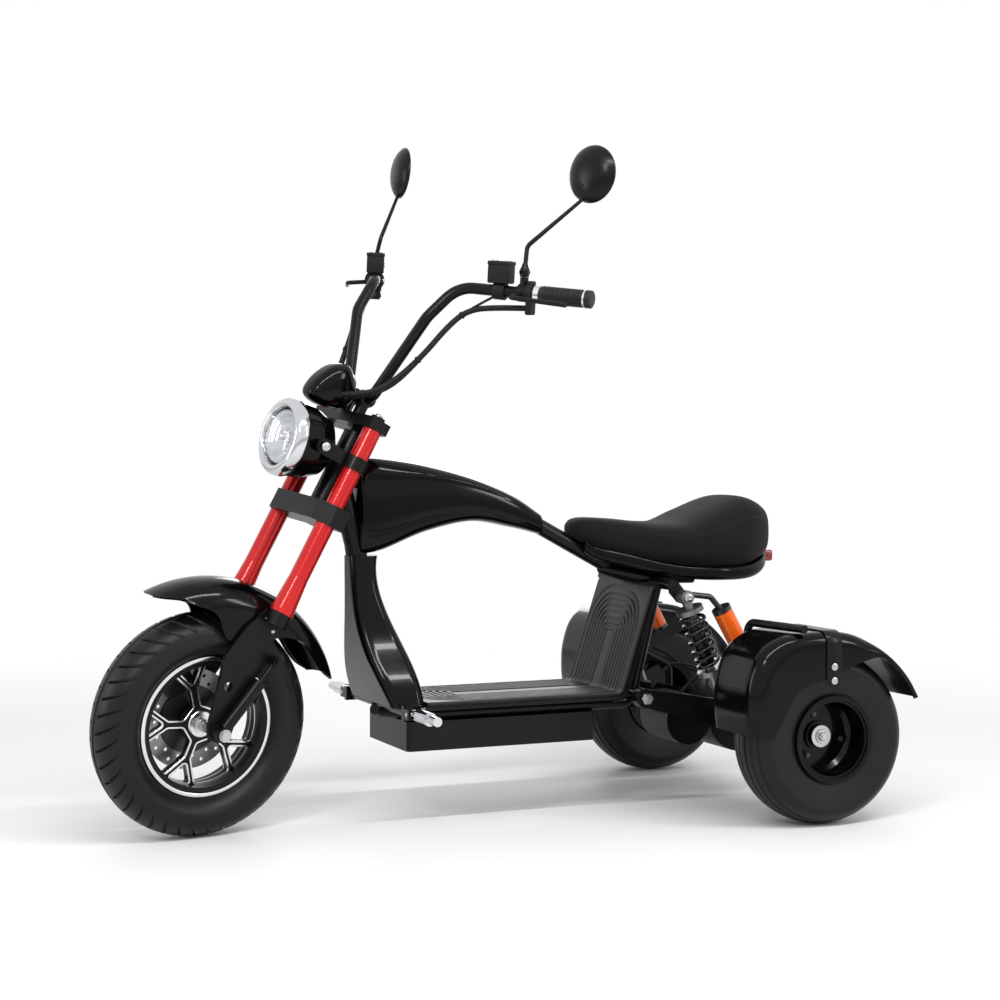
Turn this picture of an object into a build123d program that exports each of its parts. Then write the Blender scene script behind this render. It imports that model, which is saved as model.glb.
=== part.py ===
from build123d import *
import math
import os

# Electric chopper tricycle, millimetres. X points forward, Y to the rider's left, Z up.
# The drawing origin is the floor point under the middle of the rear axle; put() moves
# every node so that the origin of the files is the floor point under the outline's middle.

os.makedirs("parts", exist_ok=True)

# Driving dimensions
wheelbase = 1156.0
rear_track = 703.0  # between the middles of the rear tyres
front_radius = 217.0  # 10 inch wheel with its tyre
front_width = 107.0
rear_radius = 172.0  # 6 inch wheel with its tyre
rear_width = 127.0
rake = 28.0  # the steering axis leans back by this many degrees
axis_setback = 29.0  # steering axis behind the front axle, at axle height
rest_steer = 13.3  # the bars are turned left by this much, as the trike is parked
outline_middle = 593.3  # middle of the whole outline, ahead of the rear axle

# Clearances
seat_gap = 0.3  # between parts that rest on each other
fit_gap = 0.05  # around a shaft that turns in its bore
swing_gap = 5.0  # between parts that move past each other

# Places shared by several parts
front_axle = (wheelbase, 0, front_radius)
lean = math.radians(rake)
fork_plane = Plane(
    origin=front_axle,
    x_dir=(math.cos(lean), 0, math.sin(lean)),
    z_dir=(-math.sin(lean), 0, math.cos(lean)),
)
axis_back = axis_setback * math.cos(lean)  # square to the fork
steer_axis = Axis((wheelbase - axis_setback, 0, front_radius), tuple(fork_plane.z_dir))
sides = {"left": 1, "right": -1}


def ahead(x, y, z):
    """A point measured from the front axle, for what moves with the front end."""
    return (wheelbase + x, y, front_radius + z)


# Small shape helpers
def fork_shape(shape):
    """Places a shape drawn with x square to the fork, z up the fork, from the front axle."""
    return fork_plane.location * shape


def bar(start, end, diameter):
    """A round bar between two points."""
    line = Line(start, end)
    return sweep(Plane(line @ 0, z_dir=line % 0) * Circle(diameter / 2), path=line)


def pipe(points, diameter, bend):
    """A round pipe through the points, with its corners rounded to the bend radius."""
    path = FilletPolyline(*points, radius=bend)
    return sweep(Plane(path @ 0, z_dir=path % 0) * Circle(diameter / 2), path=path)


def strip(points, width, thick, bend):
    """A flat strip bent along a side-view path, its width across the trike."""
    path = FilletPolyline(*points, radius=bend)
    start = Plane(origin=path @ 0, x_dir=(0, 1, 0), z_dir=path % 0)
    return sweep(start * Rectangle(width, thick), path=path)


def cross_bar(x, y, z, radius, length):
    """A round bar across the trike, around its middle point."""
    return Pos(x, y, z) * Rot(X=90) * Cylinder(radius, length)


def block(middle, size):
    return Pos(*middle) * Box(*size)


def side_plate(points, low, high):
    """A closed side-view outline of (x, z) points, filled from y = low to y = high."""
    outline = make_face(Polyline(*points, close=True))
    return Pos(0, high, 0) * Rot(X=90) * extrude(outline, amount=high - low)


def turned(points):
    """A ring with the closed outline of (radius, along) points, its axle along Y."""
    outline = Plane.XZ * make_face(Polyline(*points, close=True))
    return Rot(X=-90) * revolve(outline, axis=Axis.Z)


def disc(radius, low, high, inner=0.0):
    """A disc or a washer around the Y axis from y = low to y = high."""
    return turned([(inner, low), (radius, low), (radius, high), (inner, high)])


def rounded_section(x, low, high, half, share):
    """An upright rounded section across the trike, for a loft along X."""
    place = Plane(origin=(x, 0, (low + high) / 2), x_dir=(0, 1, 0), z_dir=(1, 0, 0))
    corner = share * min(half, (high - low) / 2)
    return place * RectangleRounded(2 * half, high - low, corner)


def unit(a, b):
    """Direction from a to b."""
    length = math.dist(a, b)
    return tuple((q - p) / length for p, q in zip(a, b))


def along(a, b, distance):
    """The point at this distance from a on the way to b."""
    return tuple(p + d * distance for p, d in zip(a, unit(a, b)))


def mirrored(shape):
    return mirror(shape, about=Plane.XZ)


def both_sides(shape):
    return shape + mirrored(shape)


def put(name, shape, steered=False):
    """Writes one node, in the frame of the files."""
    if steered:
        shape = shape.rotate(steer_axis, rest_steer)
    export_step(Pos(-outline_middle, 0, 0) * shape, f"parts/{name}.step")


# Wheels and tyres
front_rim_radius = 135.0
front_rim_half = 30.0
front_crown = 40.0  # depth of the rounded tread
front_barrel = 7.0  # wall of the cast rim
front_hub_inner = -34.0  # the brake disc bolts on here
front_hub_outer = 6.0
rear_rim_radius = 86.0
rear_rim_half = 58.0
rear_crown = 34.0
rear_barrel = 3.4
rear_hub_inner = -62.0
rear_hub_outer = 6.0
bead_depth = 10.0  # bead seat under the edge of the rim
bead_slope = 5.0
flange_half = 3.0
spindle_radius = 7.0
stub_radius = 12.0
spoke_count = 5
spoke_phase = -4.0  # one spoke points almost straight ahead
spoke_middle = -2.0  # the spokes sit a little to the right of the rim's middle
spoke_thick = 18.0
spoke_stem = 15.0  # width of a spoke before it forks
spoke_arm = 11.0
spoke_spread = 33.0  # each arm leaves the spoke at this angle
fork_at = 67.0  # radius where the middle lines of the arms meet
hub_radius = 30.0
spider_radius = 37.0  # the spokes join around the hub inside this radius
rotor_radius = 98.0
rotor_outer = -38.0
rotor_inner = -42.0
rotor_hat = 64.0
rotor_hole = 3.5


def tyre(radius, width, rim_radius, rim_half, crown):
    """A tyre around the Y axis: rounded tread, two side walls, and a flat bead seat."""
    half = width / 2
    shoulder = radius - crown
    waist = (shoulder + rim_radius) / 2
    seat = rim_radius - bead_depth
    lip = rim_half - 2 * seat_gap - 1
    outline = [
        EllipticalCenterArc((shoulder, 0), crown, half, start_angle=-90, arc_size=180),
        ThreePointArc((shoulder, half), (waist, half * 0.96), (rim_radius, lip)),
        Line((rim_radius, lip), (seat, lip - bead_slope)),
        Line((seat, lip - bead_slope), (seat, bead_slope - lip)),
        Line((seat, bead_slope - lip), (rim_radius, -lip)),
        ThreePointArc((rim_radius, -lip), (waist, -half * 0.96), (shoulder, -half)),
    ]
    return Rot(X=-90) * revolve(Plane.XZ * make_face(outline), axis=Axis.Z)


def rim_barrel(lip, half, wall):
    """Barrel with a bead seat and a flange at each side, around the Y axis."""
    seat = lip - bead_depth - seat_gap
    edge = half - 1
    return turned(
        [
            (seat - wall, -half), (lip, -half - flange_half), (lip, -edge), (seat, bead_slope - edge),
            (seat, edge - bead_slope), (lip, edge), (lip, half + flange_half), (seat - wall, half),
        ]
    )


def spoke_windows(reach):
    """The openings between and inside the forked spokes, for one spoke that points along x."""
    half_stem, half_arm = spoke_stem / 2, spoke_arm / 2
    spread = math.radians(spoke_spread)
    slope = (math.cos(spread), math.sin(spread))
    inner_tip = fork_at + half_arm / slope[1]

    def on_arm(offset):
        """Where the arm's edge, this far outside its middle line, meets the reach."""
        x0, y0 = fork_at - offset * slope[1], offset * slope[0]
        b = x0 * slope[0] + y0 * slope[1]
        run = -b + math.sqrt(b * b - x0 * x0 - y0 * y0 + reach * reach)
        return (x0 + run * slope[0], y0 + run * slope[1])

    x, y = on_arm(-half_arm)
    tip = (inner_tip, 0)
    inside = make_face([Line(tip, (x, y)), ThreePointArc((x, y), (reach, 0), (x, -y)), Line((x, -y), tip)])
    outer = on_arm(half_arm)
    elbow = (fork_at - half_arm / slope[1] + half_stem * slope[0] / slope[1], half_stem)
    foot = (spider_radius, half_stem)
    turn = math.radians(360 / spoke_count)

    def flipped(point):
        """The same point of the next spoke, mirrored."""
        x, y = point
        return (x * math.cos(turn) + y * math.sin(turn), x * math.sin(turn) - y * math.cos(turn))

    far = (reach * math.cos(turn / 2), reach * math.sin(turn / 2))
    near = (spider_radius * math.cos(turn / 2), spider_radius * math.sin(turn / 2))
    between = make_face(
        [
            Line(foot, elbow), Line(elbow, outer), ThreePointArc(outer, far, flipped(outer)),
            Line(flipped(outer), flipped(elbow)), Line(flipped(elbow), flipped(foot)),
            ThreePointArc(flipped(foot), near, foot),
        ]
    )
    return fillet(inside.vertices(), 4) + fillet(between.vertices(), 5)


def front_rim():
    """Cast wheel: barrel, hub and a web whose windows leave five spokes that fork like a Y."""
    inside = front_rim_radius - bead_depth - front_barrel
    web = disc(inside + 2, spoke_middle - spoke_thick / 2, spoke_middle + spoke_thick / 2)
    windows = Rot(X=90) * extrude(spoke_windows(inside - 3), amount=2 * spoke_thick)
    windows = Pos(0, spoke_thick, 0) * windows
    for number in range(spoke_count):
        web = web - windows.rotate(Axis.Y, spoke_phase + number * 360 / spoke_count)
    web = web - disc(hub_radius, -front_rim_half, front_rim_half)
    barrel = rim_barrel(front_rim_radius, front_rim_half, front_barrel)
    hub = disc(hub_radius, front_hub_inner, front_hub_outer, inner=spindle_radius + fit_gap)
    return barrel + web + hub


def brake_disc():
    """Brake disc with its raised centre, which bolts to the end of the hub."""
    ring = disc(rotor_radius, rotor_inner, rotor_outer, inner=rotor_hat - 4)
    hat = disc(rotor_hat, rotor_inner, front_hub_inner - seat_gap, inner=spindle_radius + 3)
    rotor = ring + hat
    for radius, count, phase in ((74.0, 15, 0), (86.0, 15, 12)):
        for number in range(count):
            hole = Pos(radius, 0, 0) * disc(rotor_hole, rotor_inner - 1, rotor_outer + 1)
            rotor = rotor - hole.rotate(Axis.Y, phase + number * 360 / count)
    return rotor


def rear_rim():
    """Pressed steel wheel: deep barrel, web, hub, cap and three nuts."""
    inside = rear_rim_radius - bead_depth - rear_barrel
    web = turned([(22, -8), (66, -8), (inside, 2), (inside, 8), (64, 0), (22, 0)])
    hub = disc(29, rear_hub_inner, rear_hub_outer, inner=stub_radius + fit_gap)
    cap = disc(22.5, rear_hub_outer, rear_hub_outer + 6)
    wheel = rim_barrel(rear_rim_radius, rear_rim_half, rear_barrel) + web + hub + cap
    for number in range(3):
        nut = Pos(0, 0, 47) * disc(8, -1, 10)
        wheel = wheel + nut.rotate(Axis.Y, number * 120 + 20)
    return wheel


def make_wheels():
    front = Pos(*front_axle)
    front_tyre = tyre(front_radius, front_width, front_rim_radius, front_rim_half, front_crown)
    rear_tyre = tyre(rear_radius, rear_width, rear_rim_radius, rear_rim_half, rear_crown)
    put("front_tyre", front * front_tyre, True)
    put("front_rim", front * front_rim(), True)
    put("brake_disc", front * brake_disc(), True)
    for side, sign in sides.items():
        place = Pos(0, sign * rear_track / 2, rear_radius)
        put(f"rear_tyre_{side}", place * rear_tyre)
        put(f"rear_rim_{side}", place * Rot(Z=0 if sign > 0 else 180) * rear_rim())


# Fork: heights are distances up the fork from the front axle
fork_spacing = 89.0  # fork tube to the middle plane
leg_inner = 66.0  # inner face of the fork leg plates, clear of the tyre
leg_thick = 9.0
leg_outer = leg_inner + leg_thick
leg_top = 248.0
tube_foot = 250.3
tube_top = 640.0
tube_radius = 18.5
foot_radius = 23.0
lower_clamp_low = 437.0
lower_clamp_high = 477.0
yoke_low = tube_top + seat_gap
yoke_high = yoke_low + 22
head_low = lower_clamp_high + 6
head_high = yoke_low - 6
head_radius = 26.0
stem_radius = 15.0
damper_radius = 12.0
damper_eye_radius = 14.0
damper_side = leg_outer + 3 + damper_radius  # middle plane of the left damper
damper_top = (-36, 166)


def fork_tubes():
    """Painted fork tubes with flared feet."""
    outline = [
        (0, tube_foot), (foot_radius, tube_foot), (foot_radius, tube_foot + 8),
        (tube_radius, tube_foot + 75), (tube_radius, tube_top), (0, tube_top),
    ]
    tube = revolve(Plane.XZ * make_face(Polyline(*outline, close=True)), axis=Axis.Z)
    return fork_shape(both_sides(Pos(0, fork_spacing, 0) * tube))


def fork_legs():
    """Foot sockets and fin-shaped plates that carry the front axle."""
    outline = [
        (-24, leg_top), (20, leg_top), (44, 200), (58, 132), (46, 92), (22, 0), (8, -20),
        (-14, -18), (-20, 20), (-22, 122), (-34, 128), (-56, 158), (-50, 182), (-22, 196),
    ]
    middle = leg_inner + leg_thick / 2
    fin = side_plate(outline, leg_inner, leg_outer)
    fin = fin - cross_bar(22, middle, 84, 9, 2 * leg_thick)
    fin = fin - cross_bar(0, middle, 0, spindle_radius + seat_gap, 2 * leg_thick)
    socket = Pos(0, fork_spacing, leg_top - 11) * Cylinder(foot_radius - 2, 26)
    bridge = block((0, (leg_inner + fork_spacing) / 2, leg_top - 12), (34, fork_spacing - leg_inner, 24))
    return fork_shape(both_sides(fin + socket + bridge))


def front_dampers():
    """Small dampers outside the leg plates, from the axle ends up to the ears."""
    foot = (-2, damper_side, 12)
    shoulder = (-26, damper_side, 118)
    top = (damper_top[0], damper_side, damper_top[1])
    body = bar(foot, shoulder, 2 * damper_radius)
    rod = bar(along(shoulder, foot, 2), top, 10)
    lower_eye = cross_bar(0, damper_side, 0, damper_eye_radius, 2 * damper_radius)
    upper_eye = cross_bar(*top, 10, 2 * damper_radius)
    pin_start = leg_outer + seat_gap
    pin_end = damper_side + damper_radius + 4
    pin = cross_bar(top[0], (pin_start + pin_end) / 2, top[2], 6, pin_end - pin_start)
    solid = body + rod + lower_eye + upper_eye + pin
    return fork_shape(both_sides(solid - cross_bar(0, damper_side, 0, spindle_radius + seat_gap, 60)))


def front_spindle():
    """Front spindle with its spacers, washers and domed nuts."""
    end = damper_side + damper_radius  # outer face of the damper's eye
    spindle = cross_bar(0, 0, 0, spindle_radius, 2 * (end + 2))
    hex_nut = disc(13, front_hub_outer + 1, front_hub_outer + 16)
    left_spacer = disc(11, front_hub_outer + 1, leg_inner - seat_gap)
    right_spacer = disc(11, seat_gap - leg_inner, rotor_inner - 1)
    washer = disc(13, leg_outer + seat_gap, end - 2 * damper_radius - seat_gap)
    nut = disc(12, end + seat_gap, end + 6) + disc(9, end + 6, end + 10)
    return Pos(*front_axle) * (spindle + hex_nut + left_spacer + right_spacer + both_sides(washer + nut))


def brake_caliper():
    """Caliper over the edge of the disc, on a plate from the right fork leg."""
    caliper_radius = rotor_radius + 14
    angle = 38.0  # up from square to the fork
    reach = 21.0  # from the disc's middle to the caliper's faces
    middle = (rotor_inner + rotor_outer) / 2
    body = block((caliper_radius - 24, middle, 0), (48, 2 * reach + 4, 56))
    body = body & disc(caliper_radius, middle - 60, middle + 60)
    slot = disc(rotor_radius + swing_gap, rotor_inner - swing_gap, rotor_outer + swing_gap)
    turned_body = Rot(Y=-angle) * (body - slot)
    outline = [(30, 58), (14, 100), (46, 90), (84, 66), (84, 40), (60, 36)]
    plate = side_plate(outline, seat_gap - leg_inner, middle - reach)
    return fork_shape(turned_body + plate)


def lower_clamp():
    """Plate that wraps both fork tubes, with cut front corners and the stem's foot."""
    outline = [(-27, -112), (-27, 112), (6, 112), (32, 80), (32, -80), (6, -112)]
    height = lower_clamp_high - lower_clamp_low
    plate = extrude(Pos(0, 0, lower_clamp_low) * make_face(Polyline(*outline, close=True)), amount=height)
    plate = plate + Pos(-axis_back, 0, lower_clamp_low + height / 2) * Cylinder(stem_radius + 8, height)
    tube = Pos(0, fork_spacing, lower_clamp_low) * Cylinder(tube_radius + seat_gap, 3 * height)
    return fork_shape(plate - both_sides(tube))


# Handlebar, as left-half points with the fork straight
bar_radius = 11.1
bar_bend = 60.0
foot_bend = 26.0
bar_foot = ahead(-322, 44, 621)
bar_knee = ahead(-388, 128, 787)
bar_shoulder = ahead(-440, 152, 847)
grip_end = ahead(-581.6, 384.5, 839)
grip_length = 114.5
grip_radius = 17.0
grip_cap = 3.0
grip_inner = along(grip_end, bar_shoulder, grip_length)
bar_in_fork = (7.2, 699.5)  # middle stretch of the bar, square to and up the fork
lever_at = 22.0  # distances inboard of the grip
perch_half = 9.0
reservoir_at = 70.0
bar_turn = math.degrees(math.atan2(grip_end[1] - bar_shoulder[1], grip_end[0] - bar_shoulder[0]))


def bar_rod(radius):
    """The whole handlebar as a bent rod of this radius."""
    left = [bar_foot, bar_knee, bar_shoulder, grip_end]
    right = [(x, -y, z) for x, y, z in reversed(left)]
    return pipe(right + left, 2 * radius, [bar_bend, bar_bend, foot_bend, foot_bend, bar_bend, bar_bend])


def on_bar(distance):
    """A point of the left bar, this far inboard of the grip."""
    return along(grip_inner, bar_shoulder, distance)


def ring_on_bar(near, far, radius):
    """A collar round the bar between two distances from the grip."""
    bore = bar(on_bar(near - 5), on_bar(far + 5), 2 * (bar_radius + seat_gap))
    return bar(on_bar(near), on_bar(far), 2 * radius) - bore


def upper_yoke():
    """Top yoke over the tube ends, with the steering stem and the bar clamps."""
    outline = [(-38, -38), (-22, -108), (22, -108), (28, 0), (22, 108), (-22, 108), (-38, 38)]
    face = make_face(Polyline(*outline, close=True))
    plate = extrude(Pos(0, 0, yoke_low) * face, amount=yoke_high - yoke_low)
    stem_length = yoke_low - lower_clamp_high - seat_gap
    stem = Pos(-axis_back, 0, yoke_low - stem_length / 2) * Cylinder(stem_radius, stem_length)
    forward, height = bar_in_fork
    post = Pos(forward, 26, (yoke_high + height) / 2) * Cylinder(12, height - yoke_high)
    clamp = cross_bar(forward, 26, height, bar_radius + 6, 22)
    cap = Pos(0, fork_spacing, yoke_high + 3) * Cylinder(14, 6)
    solid = fork_shape(plate + stem + both_sides(post + clamp + cap))
    return solid - bar_rod(bar_radius + seat_gap)


# Headlight and display
lamp_middle = ahead(-198.5, 0.0, 536.0)  # middle of the headlight bowl, with the fork straight
lamp_in_fork = (76.4, 566.5)
lamp_tilt = 13.5  # the lamp looks up by this many degrees
lamp_radius = 73.0
lens_radius = 55.5
lens_back = 30.0  # from the bowl's middle forward
lamp_pin_radius = 6.0
ear_inner = 80.0
ear_thick = 6.0


def lamp_bracket():
    """Bands round the fork tubes with an arm each, out to the headlight's side bolts."""
    forward, height = lamp_in_fork
    band = Cylinder(tube_radius + 5, 26) - Cylinder(tube_radius + seat_gap, 30)
    outer = ear_inner + ear_thick
    arm = side_plate(
        [(tube_radius + 1, height - 13), (tube_radius + 1, height + 13), (forward, height + 15),
         (forward, height - 15)],
        ear_inner,
        outer,
    )
    ear = cross_bar(forward, ear_inner + ear_thick / 2, height, 15, ear_thick)
    hole = cross_bar(forward, ear_inner, height, lamp_pin_radius + seat_gap, 60)
    side = (Pos(0, fork_spacing, height) * band) + ((arm + ear) - hole)
    return fork_shape(both_sides(side))


def lamp_shape(shape):
    """Places a lamp part drawn around the Y axis, open end toward +Y."""
    return Pos(*lamp_middle) * Rot(Y=-lamp_tilt) * Rot(Z=-90) * shape


def headlight():
    """Bowl with its side pins, bezel and lens."""
    rim = lamp_radius
    front = lens_back + seat_gap
    bowl = turned(
        [(0, -58), (34, -55), (58, -38), (rim - 3, -6), (rim, lens_back), (0, lens_back)]
    )
    bezel = turned([(lens_radius + 0.5, front), (rim + 2, front), (rim + 3.5, 44), (rim - 4, 55), (58, 50)])
    lens = turned([(0, front), (lens_radius, front), (lens_radius, 44), (38, 56), (0, 60)])
    pins = cross_bar(*lamp_middle, lamp_pin_radius, 2 * (ear_inner + ear_thick + 4))
    return lamp_shape(bowl) + pins, lamp_shape(bezel), lamp_shape(lens)


def display():
    """Domed instrument pod above the headlight, on a post from the yoke."""
    outline = [
        (-202, 632), (-219, 660), (-250, 682), (-276, 687), (-294, 678), (-306, 635), (-290, 606),
        (-258, 600), (-220, 611),
    ]
    face = fillet(make_face(Polyline(*outline, close=True)).vertices(), 9)
    half = 33.0
    pod = Pos(*ahead(0, half, 0)) * Rot(X=90) * extrude(face, amount=2 * half)
    faces = pod.faces().sort_by(Axis.Y)
    pod = fillet(faces[0].edges() + faces[-1].edges(), 13)
    low = yoke_high + seat_gap
    high = low + 24
    return pod + fork_shape(Pos(22, 0, (low + high) / 2) * Cylinder(8, high - low))


# Controls on the bar
def grips():
    """Rubber grips as sleeves over the bar ends, with closed caps."""
    sleeve = bar(grip_inner, along(grip_end, grip_inner, -grip_cap), 2 * grip_radius)
    bore = bar(on_bar(5), along(grip_end, grip_inner, -seat_gap), 2 * (bar_radius + seat_gap))
    return both_sides(sleeve - bore)


def brake_levers():
    """Lever blades ahead of the grips, on perches with a mirror boss on top."""
    x, y, z = on_bar(lever_at)
    bore = bar(grip_end, bar_shoulder, 2 * (bar_radius + seat_gap))
    boss = Pos(x, y, z + 18) * Cylinder(8, 24)
    blade = pipe([(x + 12, y + 6, z - 4), (x + 52, y + 22, z - 8), (x - 8, y + 124, z - 16)], 9, 12)
    perch = bar(on_bar(lever_at - perch_half), on_bar(lever_at + perch_half), 34)
    return both_sides((perch + boss + blade) - bore)


def brake_reservoirs():
    """Square brake fluid boxes above the bar, inboard of the levers, each on its clamp."""
    x, y, z = on_bar(reservoir_at)
    box = Pos(x, y, z + 35) * Rot(Z=bar_turn) * Box(46, 38, 42)
    return both_sides(box + ring_on_bar(reservoir_at - 12, reservoir_at + 12, 17))


def switch_pods():
    """Switch housings next to the grips, hanging a little under the bar."""
    near = 1.0
    far = lever_at - perch_half - seat_gap
    x, y, z = on_bar((near + far) / 2)
    bore = bar(grip_end, bar_shoulder, 2 * (bar_radius + seat_gap))
    drop = Pos(x, y, z - 20) * Rot(Z=bar_turn) * Box(far - near, 26, 40)
    return both_sides(ring_on_bar(near, far, 21) + (drop - bore))


mirror_middle = ahead(-608.0, 333.0, 1071.0)
mirror_radius = 54.5
mirror_turn = (-0.95, -0.24, -0.08)  # the left glass faces this way


def mirrors():
    """Bent stems and round mirror heads; the second shape is the glass."""
    x, y, z = on_bar(lever_at)
    hx, hy, hz = mirror_middle
    collar = bar((x, y, z + 30 + seat_gap), (x, y, z + 50), 18)
    points = [
        (x, y, z + 48), (x - 7, y - 6, z + 88), (hx + 14, hy - 9, hz - 48), (hx + 10, hy - 2, hz - 6),
    ]
    stem = pipe(points, 9, 14)
    face = Plane(origin=mirror_middle, z_dir=mirror_turn)
    back = [
        (0, -20), (mirror_radius - 22, -18), (mirror_radius - 6, -10), (mirror_radius, -3),
        (mirror_radius, 0), (mirror_radius - 4.5, 0), (mirror_radius - 4.5, -2.3), (0, -2.3),
    ]
    head = face.location * revolve(Plane.XZ * make_face(Polyline(*back, close=True)), axis=Axis.Z)
    glass = face.location * (Pos(0, 0, -1) * Cylinder(mirror_radius - 5, 2))
    return both_sides(collar + stem + head), both_sides(glass)


def wiring():
    """Wrapped looms along the bars, from the switches to the display."""
    points = [
        ahead(-518, 279, 815), ahead(-480, 226, 813), ahead(-440, 188, 805), ahead(-410, 166, 771),
        ahead(-376, 140, 715), ahead(-338, 108, 665), ahead(-298, 78, 633), ahead(-264, 28, 629),
    ]
    return both_sides(pipe(points, 12, 14)) - display() - switch_pods()


# Front mudguard, with places measured from the axle
guard_radius = 283.0
guard_wall = 4.0


def front_mudguard():
    """An arch over the tyre, pointed in front, with a deep flank at the fork."""
    flank = leg_inner - seat_gap
    outer = [(guard_radius, 12), (274, 44), (244, 62), (236, flank), (176, flank)]
    inner = [
        (176, flank - guard_wall), (232, flank - guard_wall), (240, 58), (270, 41),
        (guard_radius - guard_wall, 11),
    ]
    half = outer + inner
    arch = turned(half + [(radius, -y) for radius, y in reversed(half)])
    keep = side_plate(
        [
            (125, 263), (112, 247), (70, 248), (48, 236), (8, 226), (-12, 206), (-10, 172),
            (-60, 160), (-150, 170), (-190, 150), (-224, 84), (-272, 77), (-300, 118),
            (-230, 240), (-120, 300), (60, 310), (118, 290),
        ],
        -80,
        80,
    )
    return Pos(*front_axle) * (arch & keep)


def make_steering():
    """Everything that turns with the bars."""
    bowl, bezel, lens = headlight()
    heads, glasses = mirrors()
    nodes = {
        "fork_tubes": fork_tubes(),
        "fork_legs": fork_legs(),
        "front_dampers": front_dampers(),
        "front_spindle": front_spindle(),
        "brake_caliper": brake_caliper(),
        "lower_clamp": lower_clamp(),
        "upper_yoke": upper_yoke(),
        "lamp_bracket": lamp_bracket(),
        "front_mudguard": front_mudguard(),
        "headlight_bowl": bowl,
        "headlight_bezel": bezel,
        "headlight_lens": lens,
        "handlebar": bar_rod(bar_radius),
        "grips": grips(),
        "brake_levers": brake_levers(),
        "brake_reservoirs": brake_reservoirs(),
        "switch_pods": switch_pods(),
        "mirrors": heads,
        "mirror_glasses": glasses,
        "display": display(),
        "wiring": wiring(),
    }
    for name, shape in nodes.items():
        put(name, shape, steered=True)


# Frame and body
floor_top = 239.0  # top of the floor pan, under the mat
floor_half = 130.0  # half the width of the floor
floor_front = wheelbase - 386
floor_thick = 7.0
mat_thick = 8.0
mat_front = wheelbase - 422
riser_foot = 312.0  # front face of the riser, at the floor's height
riser_head = (238.0, 462.0)
riser_slope = (riser_head[0] - riser_foot) / (riser_head[1] - floor_top)
rail_radius = 11.0
rail_side = 92.0
rail_height = floor_top - floor_thick - seat_gap - rail_radius
spine_radius = 16.0
down_radius = 21.0
pivot_place = (280.0, 236.0)  # swing arm pivot, from the side
arm_inner = 134.0
arm_outer = 158.0
pivot_end = 132.0
shock_eye_radius = 14.0
shock_eye_half = 13.0
shock_side = arm_outer + seat_gap + shock_eye_half  # middle plane of the left shock
shock_top = (198.0, shock_side, 438.0)
shock_foot = (110.0, shock_side, 216.0)
box_width = 220.0
box_low = 152.0
box_rear = 368.0
box_front = wheelbase - 384
peg_place = (wheelbase - 371, 186.0, 236.0)  # left peg's hinge, which runs along X
spine_knee = (452.0, 583.0)
spine_head = (wheelbase - 284, front_radius + 467)
peg_tube_end = 158.0
shell_tail = 445.0
shell_setback = 34.0  # front end of the tank shell behind the spine's front end


def riser_x(height, forward):
    """Side-view x of the riser's front face at a height, moved square to it by some way."""
    return riser_foot + riser_slope * (height - floor_top) + forward * math.hypot(1, riser_slope)


def frame_tubes(grow):
    """All frame tubes, each thicker by the grow value all round."""
    spine = pipe(
        [(spine_head[0], 0, spine_head[1]), (spine_knee[0], 0, spine_knee[1]), (276, 0, 488)],
        2 * (spine_radius + grow),
        60,
    )
    foot = peg_place[0]
    down = pipe(
        [
            ahead(-286, 0, 451), ahead(-316, 0, 335), (foot + 33, 0, 400), (foot + 7, 0, 300),
            (foot, 0, peg_place[2]),
        ],
        2 * (down_radius + grow),
        40,
    )
    head_middle = (head_low + head_high) / 2
    head = Pos(-axis_back, 0, head_middle) * Cylinder(head_radius + grow, head_high - head_low)
    solid = spine + down + fork_shape(head)
    riser_tube = riser_x(riser_head[1], -floor_thick - seat_gap) - rail_radius
    for sign in (1, -1):
        rail = pipe(
            [
                (foot + 7, sign * 18, rail_height), (foot - 55, sign * rail_side, rail_height),
                (pivot_place[0], sign * rail_side, rail_height),
                (riser_tube, sign * rail_side, riser_head[1]),
            ],
            2 * (rail_radius + grow),
            30,
        )
        seat = pipe(
            [(300, 0, 488), (226, sign * 60, 470), (120, sign * 60, 468)],
            2 * (rail_radius + grow),
            30,
        )
        solid = solid + rail + seat
    ear_face = shock_side - shock_eye_half - seat_gap
    solid = solid + cross_bar(riser_tube, 0, riser_head[1], rail_radius + grow, 2 * ear_face)
    solid = solid + cross_bar(pivot_place[0], 0, pivot_place[1], 13 + grow, 2 * pivot_end)
    return solid + cross_bar(peg_place[0], 0, peg_place[2], rail_radius + grow, 2 * peg_tube_end)


def shock_ear():
    """Left plate on the frame's upper cross tube, beside the top eye of the shock."""
    x, y, z = shock_top
    face = y - shock_eye_half - seat_gap
    outline = [
        (x + 10, z + 32), (x + 28, z + 28), (x + 26, z + 8), (x + 8, z - 12), (x - 10, z - 8),
        (x - 9, z + 9),
    ]
    return side_plate(outline, face - 8, face)


def frame():
    """Welded tube frame with the bored head tube and an ear for each shock."""
    head_middle = (head_low + head_high) / 2
    bore = Pos(-axis_back, 0, head_middle) * Cylinder(stem_radius + fit_gap, head_high - head_low + 40)
    return frame_tubes(0) + both_sides(shock_ear()) - fork_shape(bore)


def body_shell():
    """Tank shell: a loft through upright oval sections along the spine tube."""
    rows = [  # share of the shell's length from its tail, depth below the spine, height above, half width
        (1.0, 146, 44, 34),
        (0.878, 126, 54, 52),
        (0.649, 70, 62, 58),
        (0.394, 27, 60, 50),
        (0.165, 19, 45, 38),
        (0.0, 19, 21, 24),
    ]
    front = spine_head[0] - shell_setback
    slope = (spine_head[1] - spine_knee[1]) / (spine_head[0] - spine_knee[0])
    sections = []
    for share, below, above, half in rows:
        x = shell_tail + share * (front - shell_tail)
        spine = spine_knee[1] + slope * (x - spine_knee[0])
        sections.append(rounded_section(x, spine - below, spine + above, half, 0.7))
    return loft(sections) - frame_tubes(seat_gap)


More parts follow.
